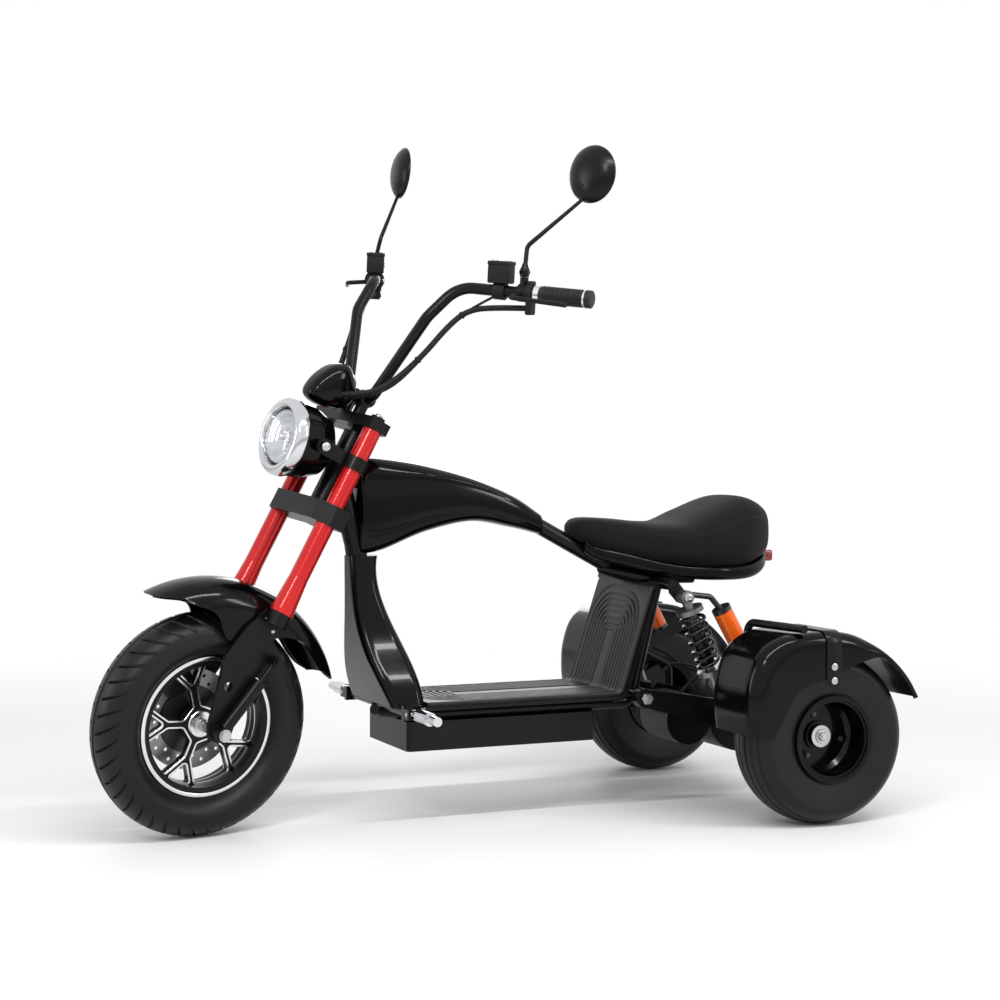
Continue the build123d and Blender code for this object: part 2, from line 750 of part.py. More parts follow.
def leg_fairing():
    """Shield from under the tank shell down to the floor."""
    rows = [  # z, rear end and front end measured from the front axle, half width
        (528, -358, -299, 30),
        (450, -362, -302, 38),
        (380, -386, -308, 58),
        (320, -406, -320, 92),
        (floor_top + seat_gap, -418, -350, 128),
    ]
    sections = []
    for z, rear, front, half in rows:
        middle = wheelbase + (rear + front) / 2
        sections.append(Pos(middle, 0, z) * RectangleRounded(front - rear, 2 * half, 20))
    return loft(sections) - frame_tubes(seat_gap)


def floor_pan():
    """Pressed floor under the mat, turned up behind the rider's heels."""
    middle = floor_top - floor_thick / 2
    points = [
        (floor_front, 0, middle), (riser_x(middle, -floor_thick / 2), 0, middle),
        (riser_x(riser_head[1], -floor_thick / 2), 0, riser_head[1]),
    ]
    return strip(points, 2 * floor_half, floor_thick, 24) - frame_tubes(seat_gap)


def floor_mat():
    """Rubber mat on the floor pan and up the riser."""
    offset = seat_gap + mat_thick / 2
    middle = floor_top + offset
    points = [
        (mat_front, 0, middle), (riser_x(middle, offset), 0, middle),
        (riser_x(riser_head[1] - 6, offset), 0, riser_head[1] - 6),
    ]
    return strip(points, 2 * floor_half - 16, mat_thick, 24 - floor_thick / 2 - offset)


def battery_box():
    top = rail_height - rail_radius - seat_gap
    middle = ((box_front + box_rear) / 2, 0, (top + box_low) / 2)
    box = block(middle, (box_front - box_rear, box_width, top - box_low))
    return chamfer(box.edges().filter_by(Axis.Z), 6)


seat_rows = [  # x, bottom, top, half width
    (380, 562, 580, 18),
    (354, 546, 594, 46),
    (290, 518, 592, 84),
    (220, 500, 585, 116),
    (150, 489, 586, 136),
    (85, 486, 611, 143),
    (12, 488, 637, 127),
    (-46, 506, 620, 86),
    (-74, 534, 584, 34),
]
pan_end = -66.0
pan_drop = 20.0


def seat_cushion():
    """Teardrop seat: a loft through upright sections, dipped in the middle."""
    return loft([rounded_section(*row, 0.8) for row in seat_rows]) - frame_tubes(seat_gap)


def seat_pan():
    """Thin pan under the seat, following its lower face."""
    rows = [(x, bottom - pan_drop, bottom + 8, half - 12) for x, bottom, top, half in seat_rows[1:-1]]
    rows.append((pan_end, 496, 518, 38))
    pan = loft([rounded_section(*row, 0.6) for row in rows])
    return pan - Pos(0, 0, -seat_gap) * seat_cushion() - frame_tubes(seat_gap)


def tail_light():
    return block((pan_end - seat_gap - 12, 0, 508), (24, 70, 24))


# Rear axle, swing arm and shocks
axle_tube_radius = 26.0
axle_tube_end = rear_track / 2 + rear_hub_inner - 21.5
gear_radius = 74.0
gear_half = 52.0
motor_radius = 52.0


def swing_arm():
    """Two box arms from the pivot back to the axle, with one cross tube."""
    px, pz = pivot_place
    outline = [
        (px + 4, pz + 17), (px + 4, pz - 17), (px - 18, pz - 24), (0, rear_radius - 34),
        (0, rear_radius + 34), (px - 18, pz + 16),
    ]
    arm = side_plate(outline, arm_inner, arm_outer)
    middle = (arm_inner + arm_outer) / 2
    ring = cross_bar(0, middle, rear_radius, 38, arm_outer - arm_inner)
    boss = cross_bar(px, middle, pz, 19, arm_outer - arm_inner)
    side = (arm + ring + boss) - cross_bar(0, middle, rear_radius, axle_tube_radius + seat_gap, 60)
    pin_length = arm_outer + 4 - pivot_end - seat_gap
    pin = cross_bar(px, pivot_end + seat_gap + pin_length / 2, pz, 12, pin_length)
    return both_sides(side + pin) + cross_bar(215, 0, 223, 15, 2 * arm_inner + 4)


def rear_axle():
    """Axle tube with the gear case in its middle and a stub for each wheel."""
    tube = cross_bar(0, 0, rear_radius, axle_tube_radius, 2 * axle_tube_end)
    case = cross_bar(0, 0, rear_radius, gear_radius, 2 * gear_half)
    stub = cross_bar(0, 0, rear_radius, stub_radius, rear_track + 2)
    return tube + case + stub


def motor():
    forward = gear_radius + seat_gap + motor_radius
    return cross_bar(forward, 0, rear_radius, motor_radius, 120)


def rear_shocks():
    """Damper bodies with eyes and spring seats."""
    rod = bar(along(shock_top, shock_foot, 4), along(shock_foot, shock_top, 4), 20)
    eye_length = 2 * shock_eye_half
    solid = rod + cross_bar(*shock_top, shock_eye_radius, eye_length)
    solid = solid + cross_bar(*shock_foot, shock_eye_radius, eye_length)
    for near, far in ((24, 34), (158, 168)):
        solid = solid + bar(along(shock_top, shock_foot, near), along(shock_top, shock_foot, far), 56)
    return both_sides(solid)


def rear_springs():
    """Sleeves that stand for the coils."""
    near = along(shock_top, shock_foot, 34 + seat_gap)
    far = along(shock_top, shock_foot, 158 - seat_gap)
    return both_sides(bar(near, far, 54) - bar(shock_top, shock_foot, 40))


def rear_reservoirs():
    """Gas cylinders behind the shocks, each on a short neck from the top eye."""
    x, y, z = shock_top
    can = bar((x - 82, y, z - 24), (x - 124, y, z - 98), 40)
    neck = pipe([(x - 10, y, z + 5), (x - 58, y, z - 1), (x - 84, y, z - 30)], 12, 14)
    return both_sides((can + neck) - cross_bar(*shock_top, shock_eye_radius + seat_gap, 40))


# Rear mudguards, rails and pegs
guard_inner = rear_track / 2 - rear_width / 2 - 18
guard_outer = rear_track / 2 + rear_width / 2 + 25
guard_front = rear_radius + 26
guard_top = 2 * rear_radius + 40
guard_foot = rear_radius + 18
guard_plate = 4.0
guard_edge_outer = 22.0  # rounding of the outer top edge
guard_edge_inner = 16.0  # rounding of the inner top edge, which clears the rail
rail_tube_radius = 8.0
strap_place = 20.0
strap_width = 34.0
strap_thick = 5.0
strap_drop = 106.0


def off_tyre(angle, gap):
    """Side-view point at an angle around the rear axle, this far off the tyre's tread."""
    reach = rear_radius + gap
    turn = math.radians(angle)
    return (reach * math.cos(turn), rear_radius + reach * math.sin(turn))


def guard_hull(wall):
    """Solid with the mudguard's outer form, moved inward by the wall on every side."""
    front = guard_front - wall
    top = guard_top - wall
    outline = [
        (front - 36, guard_foot - 60), (front, guard_foot + 24), (front - 6, top - 84),
        (front - 30, top - 28), (front - 80, top), (20, top), off_tyre(107, 31 - wall),
        off_tyre(132, 23 - wall), off_tyre(157, 24 - wall), off_tyre(168, 27 - wall),
        (0, guard_foot - 60),
    ]
    face = make_face(Polyline(*outline, close=True))
    face = fillet(face.vertices(), 16 - wall)
    width = guard_outer - guard_inner - 2 * wall
    hull = Pos(0, guard_outer - wall, 0) * Rot(X=90) * extrude(face, amount=width)
    faces = hull.faces().sort_by(Axis.Y)
    hull = fillet(faces[0].edges(), guard_edge_inner - wall)
    faces = hull.faces().sort_by(Axis.Y)
    return fillet(faces[-1].edges(), guard_edge_outer - wall)


def rear_mudguard():
    """Left mudguard: box front, domed top and a tail that follows the tyre, open below."""
    arch = [
        (guard_front + 9, guard_foot - 8), (guard_front - 12, guard_foot), off_tyre(4.6, -21),
        off_tyre(43.8, -33),
        off_tyre(80, -46), off_tyre(98, -28), off_tyre(119, 10), off_tyre(134, 10), off_tyre(155, 11),
        (-rear_radius - 40, rear_radius + 60), (-rear_radius - 40, guard_top + 20),
        (guard_front + 20, guard_top + 20),
    ]
    return (guard_hull(0) - guard_hull(guard_plate)) & side_plate(arch, guard_inner - 1, guard_outer + 1)


def guard_strap():
    """Steel strap over the mudguard, bent round its rounded edge and down its outer side."""
    off = seat_gap + strap_thick / 2
    side, top = guard_outer + off, guard_top + off
    points = [
        (strap_place, guard_inner + 18, top), (strap_place, side, top),
        (strap_place, side, guard_top - strap_drop),
    ]
    path = FilletPolyline(*points, radius=guard_edge_outer + off)
    start = Plane(origin=path @ 0, x_dir=(1, 0, 0), z_dir=path % 0)
    return sweep(start * Rectangle(strap_width, strap_thick), path=path)


def grab_rail():
    """Left rail: up from the axle tube, along the mudguard's side and over its top."""
    beside = guard_inner - seat_gap - rail_tube_radius
    above = guard_top + seat_gap + rail_tube_radius
    start = rear_radius + axle_tube_radius + seat_gap
    points = [
        (0, beside, start), (0, beside, start + 48), (106, beside, start + 102), (106, beside, above),
        (84, guard_outer - 2, above),
    ]
    return pipe(points, 2 * rail_tube_radius, 22)


def peg_bracket():
    """Block on the end of the frame's peg tube, with two cheeks for the hinge pin."""
    x, y, z = peg_place
    base = block((x, peg_tube_end + seat_gap + 6, z), (36, 12, 28))
    for sign in (1, -1):
        base = base + block((x + sign * 15.5, y - 5, z), (5, 30, 20))
    return base - Pos(x, y, z) * Rot(Y=90) * Cylinder(4 + fit_gap, 60)


def peg():
    """Left folding foot peg with its hinge pin."""
    x, y, z = peg_place
    pin = Pos(x, y, z) * Rot(Y=90) * Cylinder(4, 38)
    tongue = Pos(x, y, z) * Rot(Y=90) * Cylinder(9, 16) + block((x, y + 11, z), (16, 22, 16))
    body = bar((x, y + 19, z), (x, y + 76, z), 26)
    tip = bar((x, y + 76, z), (x, y + 114, z), 18)
    return pin + tongue + body + tip


def make_chassis():
    """Everything fixed to the frame, and the two pegs."""
    nodes = {
        "frame": frame(),
        "body_shell": body_shell(),
        "leg_fairing": leg_fairing(),
        "floor_pan": floor_pan(),
        "floor_mat": floor_mat(),
        "battery_box": battery_box(),
        "seat_cushion": seat_cushion(),
        "seat_pan": seat_pan(),
        "tail_light": tail_light(),
        "swing_arm": swing_arm(),
        "rear_axle": rear_axle(),
        "motor": motor(),
        "rear_shocks": rear_shocks(),
        "rear_springs": rear_springs(),
        "rear_reservoirs": rear_reservoirs(),
        "rear_mudguard_left": rear_mudguard(),
        "rear_mudguard_right": mirrored(rear_mudguard()),
        "guard_straps": both_sides(guard_strap()),
        "grab_rails": both_sides(grab_rail()),
        "peg_brackets": both_sides(peg_bracket()),
        "peg_left": peg(),
        "peg_right": mirrored(peg()),
    }
    for name, shape in nodes.items():
        put(name, shape)


make_wheels()
make_steering()
make_chassis()
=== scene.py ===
import math

import bmesh
import bpy
import numpy as np
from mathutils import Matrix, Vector


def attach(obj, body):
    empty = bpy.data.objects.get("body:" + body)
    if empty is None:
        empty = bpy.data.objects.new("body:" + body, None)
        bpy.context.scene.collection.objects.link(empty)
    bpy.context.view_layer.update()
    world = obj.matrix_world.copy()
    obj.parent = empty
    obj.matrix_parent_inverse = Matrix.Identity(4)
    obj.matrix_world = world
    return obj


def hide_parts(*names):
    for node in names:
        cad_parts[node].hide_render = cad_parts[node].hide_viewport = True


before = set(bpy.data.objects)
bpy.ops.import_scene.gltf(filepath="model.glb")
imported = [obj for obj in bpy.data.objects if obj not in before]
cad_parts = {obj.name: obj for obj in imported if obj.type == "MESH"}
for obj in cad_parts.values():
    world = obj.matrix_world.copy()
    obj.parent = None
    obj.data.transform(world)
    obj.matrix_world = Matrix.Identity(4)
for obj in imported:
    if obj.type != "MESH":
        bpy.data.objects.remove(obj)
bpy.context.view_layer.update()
print("frame loaded")

# Drawing frame of the part in millimetres: x forward from the rear axle, y left, z up.
layout = {
    "middle": 593.3,  # x of the origin that the files use
    "wheelbase": 1156.0,
    "frontRadius": 217.0,
    "rearRadius": 172.0,
    "rearSide": 351.5,  # middle of a rear wheel from the middle plane
    "rake": math.radians(28.0),
    "setback": 29.0,  # steering axis behind the front axle at its height
    "restSteer": math.radians(13.3),
}


def onChassis(points):
    # drawing millimetres to metres in the files' frame
    return (np.asarray(points, float) - [layout["middle"], 0, 0]) / 1000


def onSteering(points):
    # the same, after turning the front end about the steering axis (Rodrigues' formula)
    axis = np.array([-math.sin(layout["rake"]), 0, math.cos(layout["rake"])])
    foot = np.array([layout["wheelbase"] - layout["setback"], 0, layout["frontRadius"]])
    arm = np.asarray(points, float) - foot
    c, s = math.cos(layout["restSteer"]), math.sin(layout["restSteer"])
    turned = arm * c + np.cross(np.broadcast_to(axis, arm.shape), arm) * s
    turned = turned + (arm @ axis)[..., None] * axis * (1 - c)
    return onChassis(turned + foot)


def onFrontWheel(points):
    # points measured from the front axle's middle, y along the axle
    return onSteering(np.asarray(points, float) + [layout["wheelbase"], 0, layout["frontRadius"]])


def onRearWheel(points, side):
    # points measured from a rear wheel's middle, y outwards
    place = np.asarray(points, float) * [side, side, 1]
    return onChassis(place + [0, side * layout["rearSide"], layout["rearRadius"]])


def onFork(points):
    # x square to the fork, z up the fork, from the front axle
    p = np.asarray(points, float)
    c, s = math.cos(layout["rake"]), math.sin(layout["rake"])
    x = p[..., 0] * c - p[..., 2] * s + layout["wheelbase"]
    z = p[..., 0] * s + p[..., 2] * c + layout["frontRadius"]
    return onSteering(np.stack([x, p[..., 1], z], -1))


def mirrorY(points):
    # the places on the other side of the middle plane
    return np.asarray(points, float) * [1, -1, 1]


def unit(rows):
    # each row divided by its own length
    rows = np.asarray(rows, float)
    return rows / np.linalg.norm(rows, axis=-1, keepdims=True)


def runLength(path):
    # distance along a path up to each of its points
    return np.concatenate([[0], np.cumsum(np.linalg.norm(np.diff(path, axis=0), axis=1))])


def superellipse(count, power):
    # cosine and sine round a full turn, each raised to a power with its sign kept
    angle = np.linspace(0, 2 * math.pi, count, endpoint=False)[None]
    c, s = np.cos(angle), np.sin(angle)
    return np.sign(c) * np.abs(c) ** power, np.sign(s) * np.abs(s) ** power


def gridFaces(rows, cols, closeRows, closeCols):
    # quads between neighbouring points of a rows x cols grid, the last row or column joined to the first
    i, j = np.meshgrid(
        np.arange(rows if closeRows else rows - 1), np.arange(cols if closeCols else cols - 1), indexing="ij"
    )
    below, right = (i + 1) % rows, (j + 1) % cols
    return np.stack([i * cols + j, i * cols + right, below * cols + right, below * cols + j], -1).reshape(-1, 4)


def surface(points, closeRows=False, closeCols=False, capRows=False):
    # a grid of points as one shape: its points, its quads, and a cap over each open end
    rows, cols = points.shape[:2]
    caps = [np.arange(cols)[::-1], np.arange((rows - 1) * cols, rows * cols)] if capRows else []
    return points.reshape(-1, 3), gridFaces(rows, cols, closeRows, closeCols), caps


def placed(shape, mover, *extra):
    # the same shape with its points put somewhere else
    return (mover(shape[0], *extra), *shape[1:])


def mirrored(shape):
    # the same shape on the other side of the middle plane
    return placed(shape, mirrorY)


def lathe(profile, sides=48, closed=True):
    # a profile of (radius, along) turned about the y axis: x = r cos a, y = along, z = r sin a
    profile = np.asarray(profile, float)
    angle = np.linspace(0, 2 * math.pi, sides, endpoint=False)
    r, along = profile[:, :1], profile[:, 1:]
    grid = np.stack([r * np.cos(angle), along + 0 * angle, r * np.sin(angle)], -1)
    return surface(grid, closeRows=closed, closeCols=True)


def tube(path, radius, sides=14, up=(0, 0, 1)):
    # a round section carried along a path, its frame held by one fixed direction
    path = np.asarray(path, float)
    tangent = unit(np.gradient(path, axis=0))
    across = unit(np.cross(tangent, np.asarray(up, float)))
    third = np.cross(tangent, across)
    angle = np.linspace(0, 2 * math.pi, sides, endpoint=False)[:, None]
    radius = np.broadcast_to(np.asarray(radius, float), (len(path),))[:, None, None]
    ring = across[:, None] * np.cos(angle) + third[:, None] * np.sin(angle)
    return surface(path[:, None] + radius * ring, closeCols=True, capRows=True)


def turnAlong(shape, origin, direction):
    # a shape drawn along y, moved so that its y axis points in a direction from an origin
    y = unit(direction)
    helper = (0, 0, 1) if abs(y[2]) < 0.9 else (1, 0, 0)
    x = unit(np.cross(y, helper))
    z = np.cross(x, y)
    return placed(shape, lambda points: points @ np.stack([x, y, z]) + np.asarray(origin, float))


def roundedPath(points, radius, closed=False, steps=6):
    # straight runs with each corner replaced by an arc that touches both, no longer than about half a run
    points = np.asarray(points, float)
    last = len(points) - 1
    almostStraight, longestShare = math.radians(89), 0.49
    out = []
    for k, here in enumerate(points):
        before, after = points[k - 1] - here, points[(k + 1) % len(points)] - here
        runs = np.linalg.norm(before), np.linalg.norm(after)
        u, v = before / runs[0], after / runs[1]
        half = math.acos(max(-1.0, min(1.0, float(u @ v)))) / 2
        if half > almostStraight or (not closed and k in (0, last)):
            out.append(here[None])
            continue
        cut = min(radius / math.tan(half), longestShare * min(runs))
        size = cut * math.tan(half)
        centre = here + unit(u + v) * size / math.sin(half)
        share = np.linspace(0, 1, steps)[:, None]
        chord = (here + u * cut - centre) * (1 - share) + (here + v * cut - centre) * share
        out.append(centre + unit(chord) * size)
    return np.concatenate(out)


def resampled(path, count, closed=False):
    # points at equal steps along a path
    if closed:
        path = np.vstack([path, path[:1]])
    run = runLength(path)
    at = np.linspace(0, run[-1], count, endpoint=not closed)
    return np.stack([np.interp(at, run, path[:, k]) for k in range(path.shape[1])], -1)


def smoothTable(table, count, closed=False):
    # rows of a table joined by cubic (Catmull-Rom) curves, round in a ring where closed
    table = np.asarray(table, float)
    rows = len(table)
    if closed:
        t = np.linspace(0, rows, count, endpoint=False)
        k = t.astype(int)
        a, b, c, d = (table[(k + step) % rows] for step in (-1, 0, 1, 2))
    else:
        t = np.linspace(0, rows - 1, count)
        k = np.minimum(t.astype(int), rows - 2)
        padded = np.vstack([2 * table[0] - table[1], table, 2 * table[-1] - table[-2]])
        a, b, c, d = (padded[k + step] for step in range(4))
    f = (t - k)[:, None]
    return 0.5 * (2 * b + (c - a) * f + (2 * a - 5 * b + 4 * c - d) * f**2 + (3 * b - a - 3 * c + d) * f**3)


def roundedBox(size, edge, sides=44, square=0.22):
    # superellipse sections stacked along z, drawn in by a quarter circle at both ends
    wide, deep = superellipse(sides, square)
    q = np.linspace(0, math.pi / 2, 5)
    inset, high = edge * (1 - np.sin(q)), edge * (1 - np.cos(q)) - size[2] / 2
    inset = np.concatenate([inset, inset[::-1]])[:, None]
    high = np.concatenate([high, -high[::-1]])[:, None]
    grid = np.stack([(size[0] / 2 - inset) * wide, (size[1] / 2 - inset) * deep, high + 0 * wide], -1)
    return surface(grid, closeCols=True, capRows=True)


def setAt(shape, origin, turn=0.0):
    # the shape turned about the z axis and put in its place
    c, n = math.cos(turn), math.sin(turn)
    spun = np.array([[c, n, 0], [-n, c, 0], [0, 0, 1]])
    return placed(shape, lambda points: points @ spun + np.asarray(origin, float))


def bothSides(shapes, mover):
    # the shapes of the left side and their mirror images, all moved into place
    return [placed(shape, mover) for shape in [*shapes, *map(mirrored, shapes)]]


def smoothStep(x, low, high):
    # 0 up to low, 1 from high on, and a curve without corners between
    t = np.clip((x - low) / (high - low), 0, 1)
    return t * t * (3 - 2 * t)


def routeLine(points, density=24):
    # smooth line that Blender draws for a NURBS curve with these guide points, from the first to the last of
    # them, read back as points
    curve = bpy.data.curves.new("route", "CURVE")
    curve.dimensions = "3D"
    spline = curve.splines.new("NURBS")
    spline.points.add(len(points) - 1)
    for point, place in zip(spline.points, points):
        point.co = (*place, 1)
    spline.order_u = 3
    spline.use_endpoint_u = True
    spline.resolution_u = density
    holder = bpy.data.objects.new("route", curve)
    line = bpy.data.meshes.new_from_object(holder)
    out = np.array([v.co[:] for v in line.vertices])
    bpy.data.meshes.remove(line)
    bpy.data.objects.remove(holder)
    bpy.data.curves.remove(curve)
    return out


def makePiece(name, shapes, body, finish, replaced=(), crease=35.0, weld=2e-6):
    # joins shapes into one mesh, merges seams and poles, turns faces outwards and hands it to the frame
    starts = np.cumsum([0] + [len(shape[0]) for shape in shapes])
    faces = [shape[1] + start for shape, start in zip(shapes, starts)]
    caps = [cap + start for shape, start in zip(shapes, starts) for cap in shape[2]]
    mesh = bpy.data.meshes.new(name)
    points = np.concatenate([shape[0] for shape in shapes])
    mesh.from_pydata(points.tolist(), [], np.concatenate(faces).tolist() + [cap.tolist() for cap in caps])
    shell = bmesh.new()
    shell.from_mesh(mesh)
    bmesh.ops.remove_doubles(shell, verts=shell.verts, dist=weld)
    loose = [edge for edge in shell.edges if not edge.link_faces]
    bmesh.ops.delete(shell, geom=loose, context="EDGES")
    bmesh.ops.recalc_face_normals(shell, faces=shell.faces)
    shell.to_mesh(mesh)
    shell.free()
    mesh.shade_smooth()
    mesh.set_sharp_from_angle(angle=math.radians(crease))
    piece = bpy.data.objects.new(name, mesh)
    bpy.context.scene.collection.objects.link(piece)
    mesh.materials.append(finishes[finish])
    if replaced:
        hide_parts(*replaced)
    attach(piece, body)
    return piece


class Knob:
    # a socket that takes part in sums: each operator adds a Math node
    def __init__(self, tree, socket):
        self.tree = tree
        self.socket = socket

    def math(self, operation, *values):
        return addNode(self.tree, "ShaderNodeMath", {"operation": operation}, dict(enumerate(values)))

    def __add__(self, other):
        return self.math("ADD", self, other)

    def __sub__(self, other):
        return self.math("SUBTRACT", self, other)

    def __rsub__(self, other):
        return self.math("SUBTRACT", other, self)

    def __mul__(self, other):
        return self.math("MULTIPLY", self, other)

    def __abs__(self):
        return self.math("ABSOLUTE", self)

    def __mod__(self, other):
        return self.math("FLOORED_MODULO", self, other)

    def root(self):
        return self.math("SQRT", self)

    def held(self):
        return addNode(self.tree, "ShaderNodeClamp", {}, {0: self})

    def between(self, low, high):
        # 0 at low, 1 at high, straight in the middle
        return self.math("MULTIPLY_ADD", self, 1 / (high - low), -low / (high - low)).held()

    __radd__ = __add__
    __rmul__ = __mul__


def addNode(tree, kind, settings=None, inputs=None, output=0):
    # settings come first, because some of them change which sockets there are
    node = tree.nodes.new(kind)
    for key, value in (settings or {}).items():
        setattr(node, key, value)
    for key, value in (inputs or {}).items():
        if isinstance(value, Knob):
            tree.links.new(value.socket, node.inputs[key])
        else:
            node.inputs[key].default_value = value
    return Knob(tree, node.outputs[output]) if node.outputs else node


class Finish:
    # one material on the Principled shader, with short ways to add nodes; patterns read Object coordinates
    def __init__(self, name):
        self.material = bpy.data.materials.new(name)
        self.material.use_nodes = True
        self.tree = self.material.node_tree
        self.shader = self.tree.nodes["Principled BSDF"]
        self.place = self.make("ShaderNodeTexCoord", output="Object")

    def make(self, kind, settings=None, inputs=None, output=0):
        return addNode(self.tree, kind, settings, inputs, output)

    def mapped(self, where, **values):
        return self.make("ShaderNodeMapping", {}, {"Vector": where, **values})

    def noise(self, scale, detail=4.0, rough=0.55, where=None):
        wanted = {"Vector": where or self.place, "Scale": scale, "Detail": detail, "Roughness": rough}
        return self.make("ShaderNodeTexNoise", {}, wanted)

    def lines(self, along, scale, detail=2.0):
        # noise that changes along one number only, for turned or brushed rings
        return self.make("ShaderNodeTexNoise", {"noise_dimensions": "1D"}, {"W": along * scale, "Detail": detail})

    def cells(self, scale):
        return self.make("ShaderNodeTexVoronoi", {"feature": "F1"}, {"Vector": self.place, "Scale": scale})

    def coordinates(self, where=None):
        first = self.make("ShaderNodeSeparateXYZ", {}, {0: where or self.place})
        return [Knob(self.tree, out) for out in first.socket.node.outputs]

    def blend(self, mask, dark, light):
        # two colours mixed by a mask
        colours = {6: dark, 7: light}
        wanted = {key: value if isinstance(value, Knob) else (*value, 1) for key, value in colours.items()}
        return self.make("ShaderNodeMix", {"data_type": "RGBA"}, {0: mask, **wanted}, 2)

    def bump(self, height, distance, strength, under=None):
        # one more layer of relief over the one under it
        wanted = {"Height": height, "Distance": distance, "Strength": strength}
        if under:
            wanted["Normal"] = under
        return self.make("ShaderNodeBump", {}, wanted)

    def set(self, **values):
        for key, value in values.items():
            socket = self.shader.inputs[finishSockets[key]]
            if isinstance(value, Knob):
                self.tree.links.new(value.socket, socket)
            else:
                socket.default_value = (*value, 1) if isinstance(value, tuple) else value
        return self.material


finishSockets = {
    "colour": "Base Color",
    "roughness": "Roughness",
    "metallic": "Metallic",
    "coat": "Coat Weight",
    "coatRoughness": "Coat Roughness",
    "specular": "Specular IOR Level",
    "normal": "Normal",
    "transmission": "Transmission Weight",
    "ior": "IOR",
    "sheen": "Sheen Weight",
    "sheenRoughness": "Sheen Roughness",
}

plainPaint = {
    "mottleScale": 9.0, "scuffScale": 60.0, "scuffFrom": 0.58, "scuffTo": 0.74, "scuff": 0.12,
    "scuffColour": (0.12, 0.12, 0.12), "scuffRough": 0.06, "roughVary": 0.08, "grainStrength": 0.5,
    "wave": 0.0002, "waveStrength": 0.3, "metal": 0.0, "coat": 0.0, "coatRough": 0.04, "specular": 0.5,
}


def paintedFinish(name, own):
    # paint, metal or moulded plastic: mottled tone, uneven gloss, fine grain, dust in broad patches
    f, look = Finish(name), {**plainPaint, **own}
    mottle = f.noise(look["mottleScale"], 5.0)
    grain = f.noise(look["grainScale"], 2.0)
    scuff = f.noise(look["scuffScale"], 6.0, 0.7).between(look["scuffFrom"], look["scuffTo"])
    dark, light = (tuple(np.array(look["colour"]) * (1 + way * look["mottle"])) for way in (-1, 1))
    tone = f.blend(scuff * look["scuff"], f.blend(mottle.between(0.3, 0.7), dark, light), look["scuffColour"])
    rough = look["rough"] + (mottle - 0.5) * look["roughVary"] + scuff * look["scuffRough"]
    fine = f.bump(grain, look["grain"], look["grainStrength"])
    return f.set(
        colour=tone, roughness=rough, metallic=look["metal"], coat=look["coat"], coatRoughness=look["coatRough"],
        specular=look["specular"], normal=f.bump(mottle, look["wave"], look["waveStrength"], fine),
    )


painted = {
    "castBlack": {"colour": (0.004, 0.004, 0.0045), "rough": 0.34, "mottle": 0.25, "grainScale": 700.0,
                  "grain": 0.00025, "specular": 0.19, "scuff": 0.04},
    "satinBlack": {"colour": (0.0035, 0.0035, 0.004), "rough": 0.26, "mottle": 0.2, "grainScale": 900.0,
                   "grain": 0.00012, "specular": 0.2, "scuff": 0.03},
    "glossBlack": {"colour": (0.0015, 0.0015, 0.0017), "rough": 0.15, "mottle": 0.15, "grainScale": 350.0,
                   "grain": 0.00003, "coat": 0.15, "coatRough": 0.03, "specular": 0.1, "wave": 0.0004,
                   "scuff": 0.012},
    "matteBlack": {"colour": (0.006, 0.006, 0.0065), "rough": 0.55, "mottle": 0.2, "grainScale": 1400.0,
                   "grain": 0.0002, "specular": 0.22, "scuff": 0.04},
    "wornSteel": {"colour": (0.5, 0.5, 0.51), "rough": 0.28, "mottle": 0.12, "grainScale": 1200.0,
                  "grain": 0.0001, "metal": 1.0, "roughVary": 0.2, "scuffColour": (0.2, 0.19, 0.18),
                  "scuff": 0.35, "scuffScale": 130.0},
    "darkSteel": {"colour": (0.06, 0.06, 0.062), "rough": 0.35, "mottle": 0.2, "grainScale": 1200.0,
                  "grain": 0.0001, "metal": 1.0, "scuffColour": (0.02, 0.02, 0.02), "scuff": 0.3},
    "brightChrome": {"colour": (0.62, 0.63, 0.65), "rough": 0.1, "mottle": 0.08, "grainScale": 300.0,
                     "grain": 0.00002, "metal": 1.0, "roughVary": 0.08, "scuffColour": (0.3, 0.3, 0.32),
                     "scuff": 0.2},
    "cutAlloy": {"colour": (0.74, 0.74, 0.75), "rough": 0.22, "mottle": 0.08, "grainScale": 1600.0,
                 "grain": 0.00008, "metal": 1.0, "scuff": 0.1, "scuffColour": (0.4, 0.4, 0.4)},
    "castAlloy": {"colour": (0.22, 0.22, 0.225), "rough": 0.42, "mottle": 0.2, "grainScale": 800.0,
                  "grain": 0.0003, "metal": 1.0, "scuff": 0.3, "scuffColour": (0.05, 0.05, 0.05)},
    "springBlack": {"colour": (0.004, 0.004, 0.0045), "rough": 0.25, "mottle": 0.15, "grainScale": 500.0,
                    "grain": 0.00005, "coat": 0.2, "specular": 0.3, "scuff": 0.04},
    "hoseBlack": {"colour": (0.005, 0.005, 0.0055), "rough": 0.48, "mottle": 0.2, "grainScale": 1500.0,
                  "grain": 0.0002, "specular": 0.25, "scuff": 0.04},
    "mirrorSilver": {"colour": (0.82, 0.84, 0.86), "rough": 0.04, "mottle": 0.03, "grainScale": 200.0,
                     "grain": 0.00001, "metal": 1.0, "roughVary": 0.03, "scuff": 0.05, "wave": 0.00005},
}

redTube = {
    "dark": (0.44, 0.003, 0.005), "light": (0.60, 0.007, 0.009), "warm": (0.62, 0.035, 0.012), "warmShare": 0.25,
    "lineScale": (260.0, 260.0, 3.0), "broadScale": 7.0, "rough": 0.22, "roughVary": 0.1, "grain": 0.00002,
}


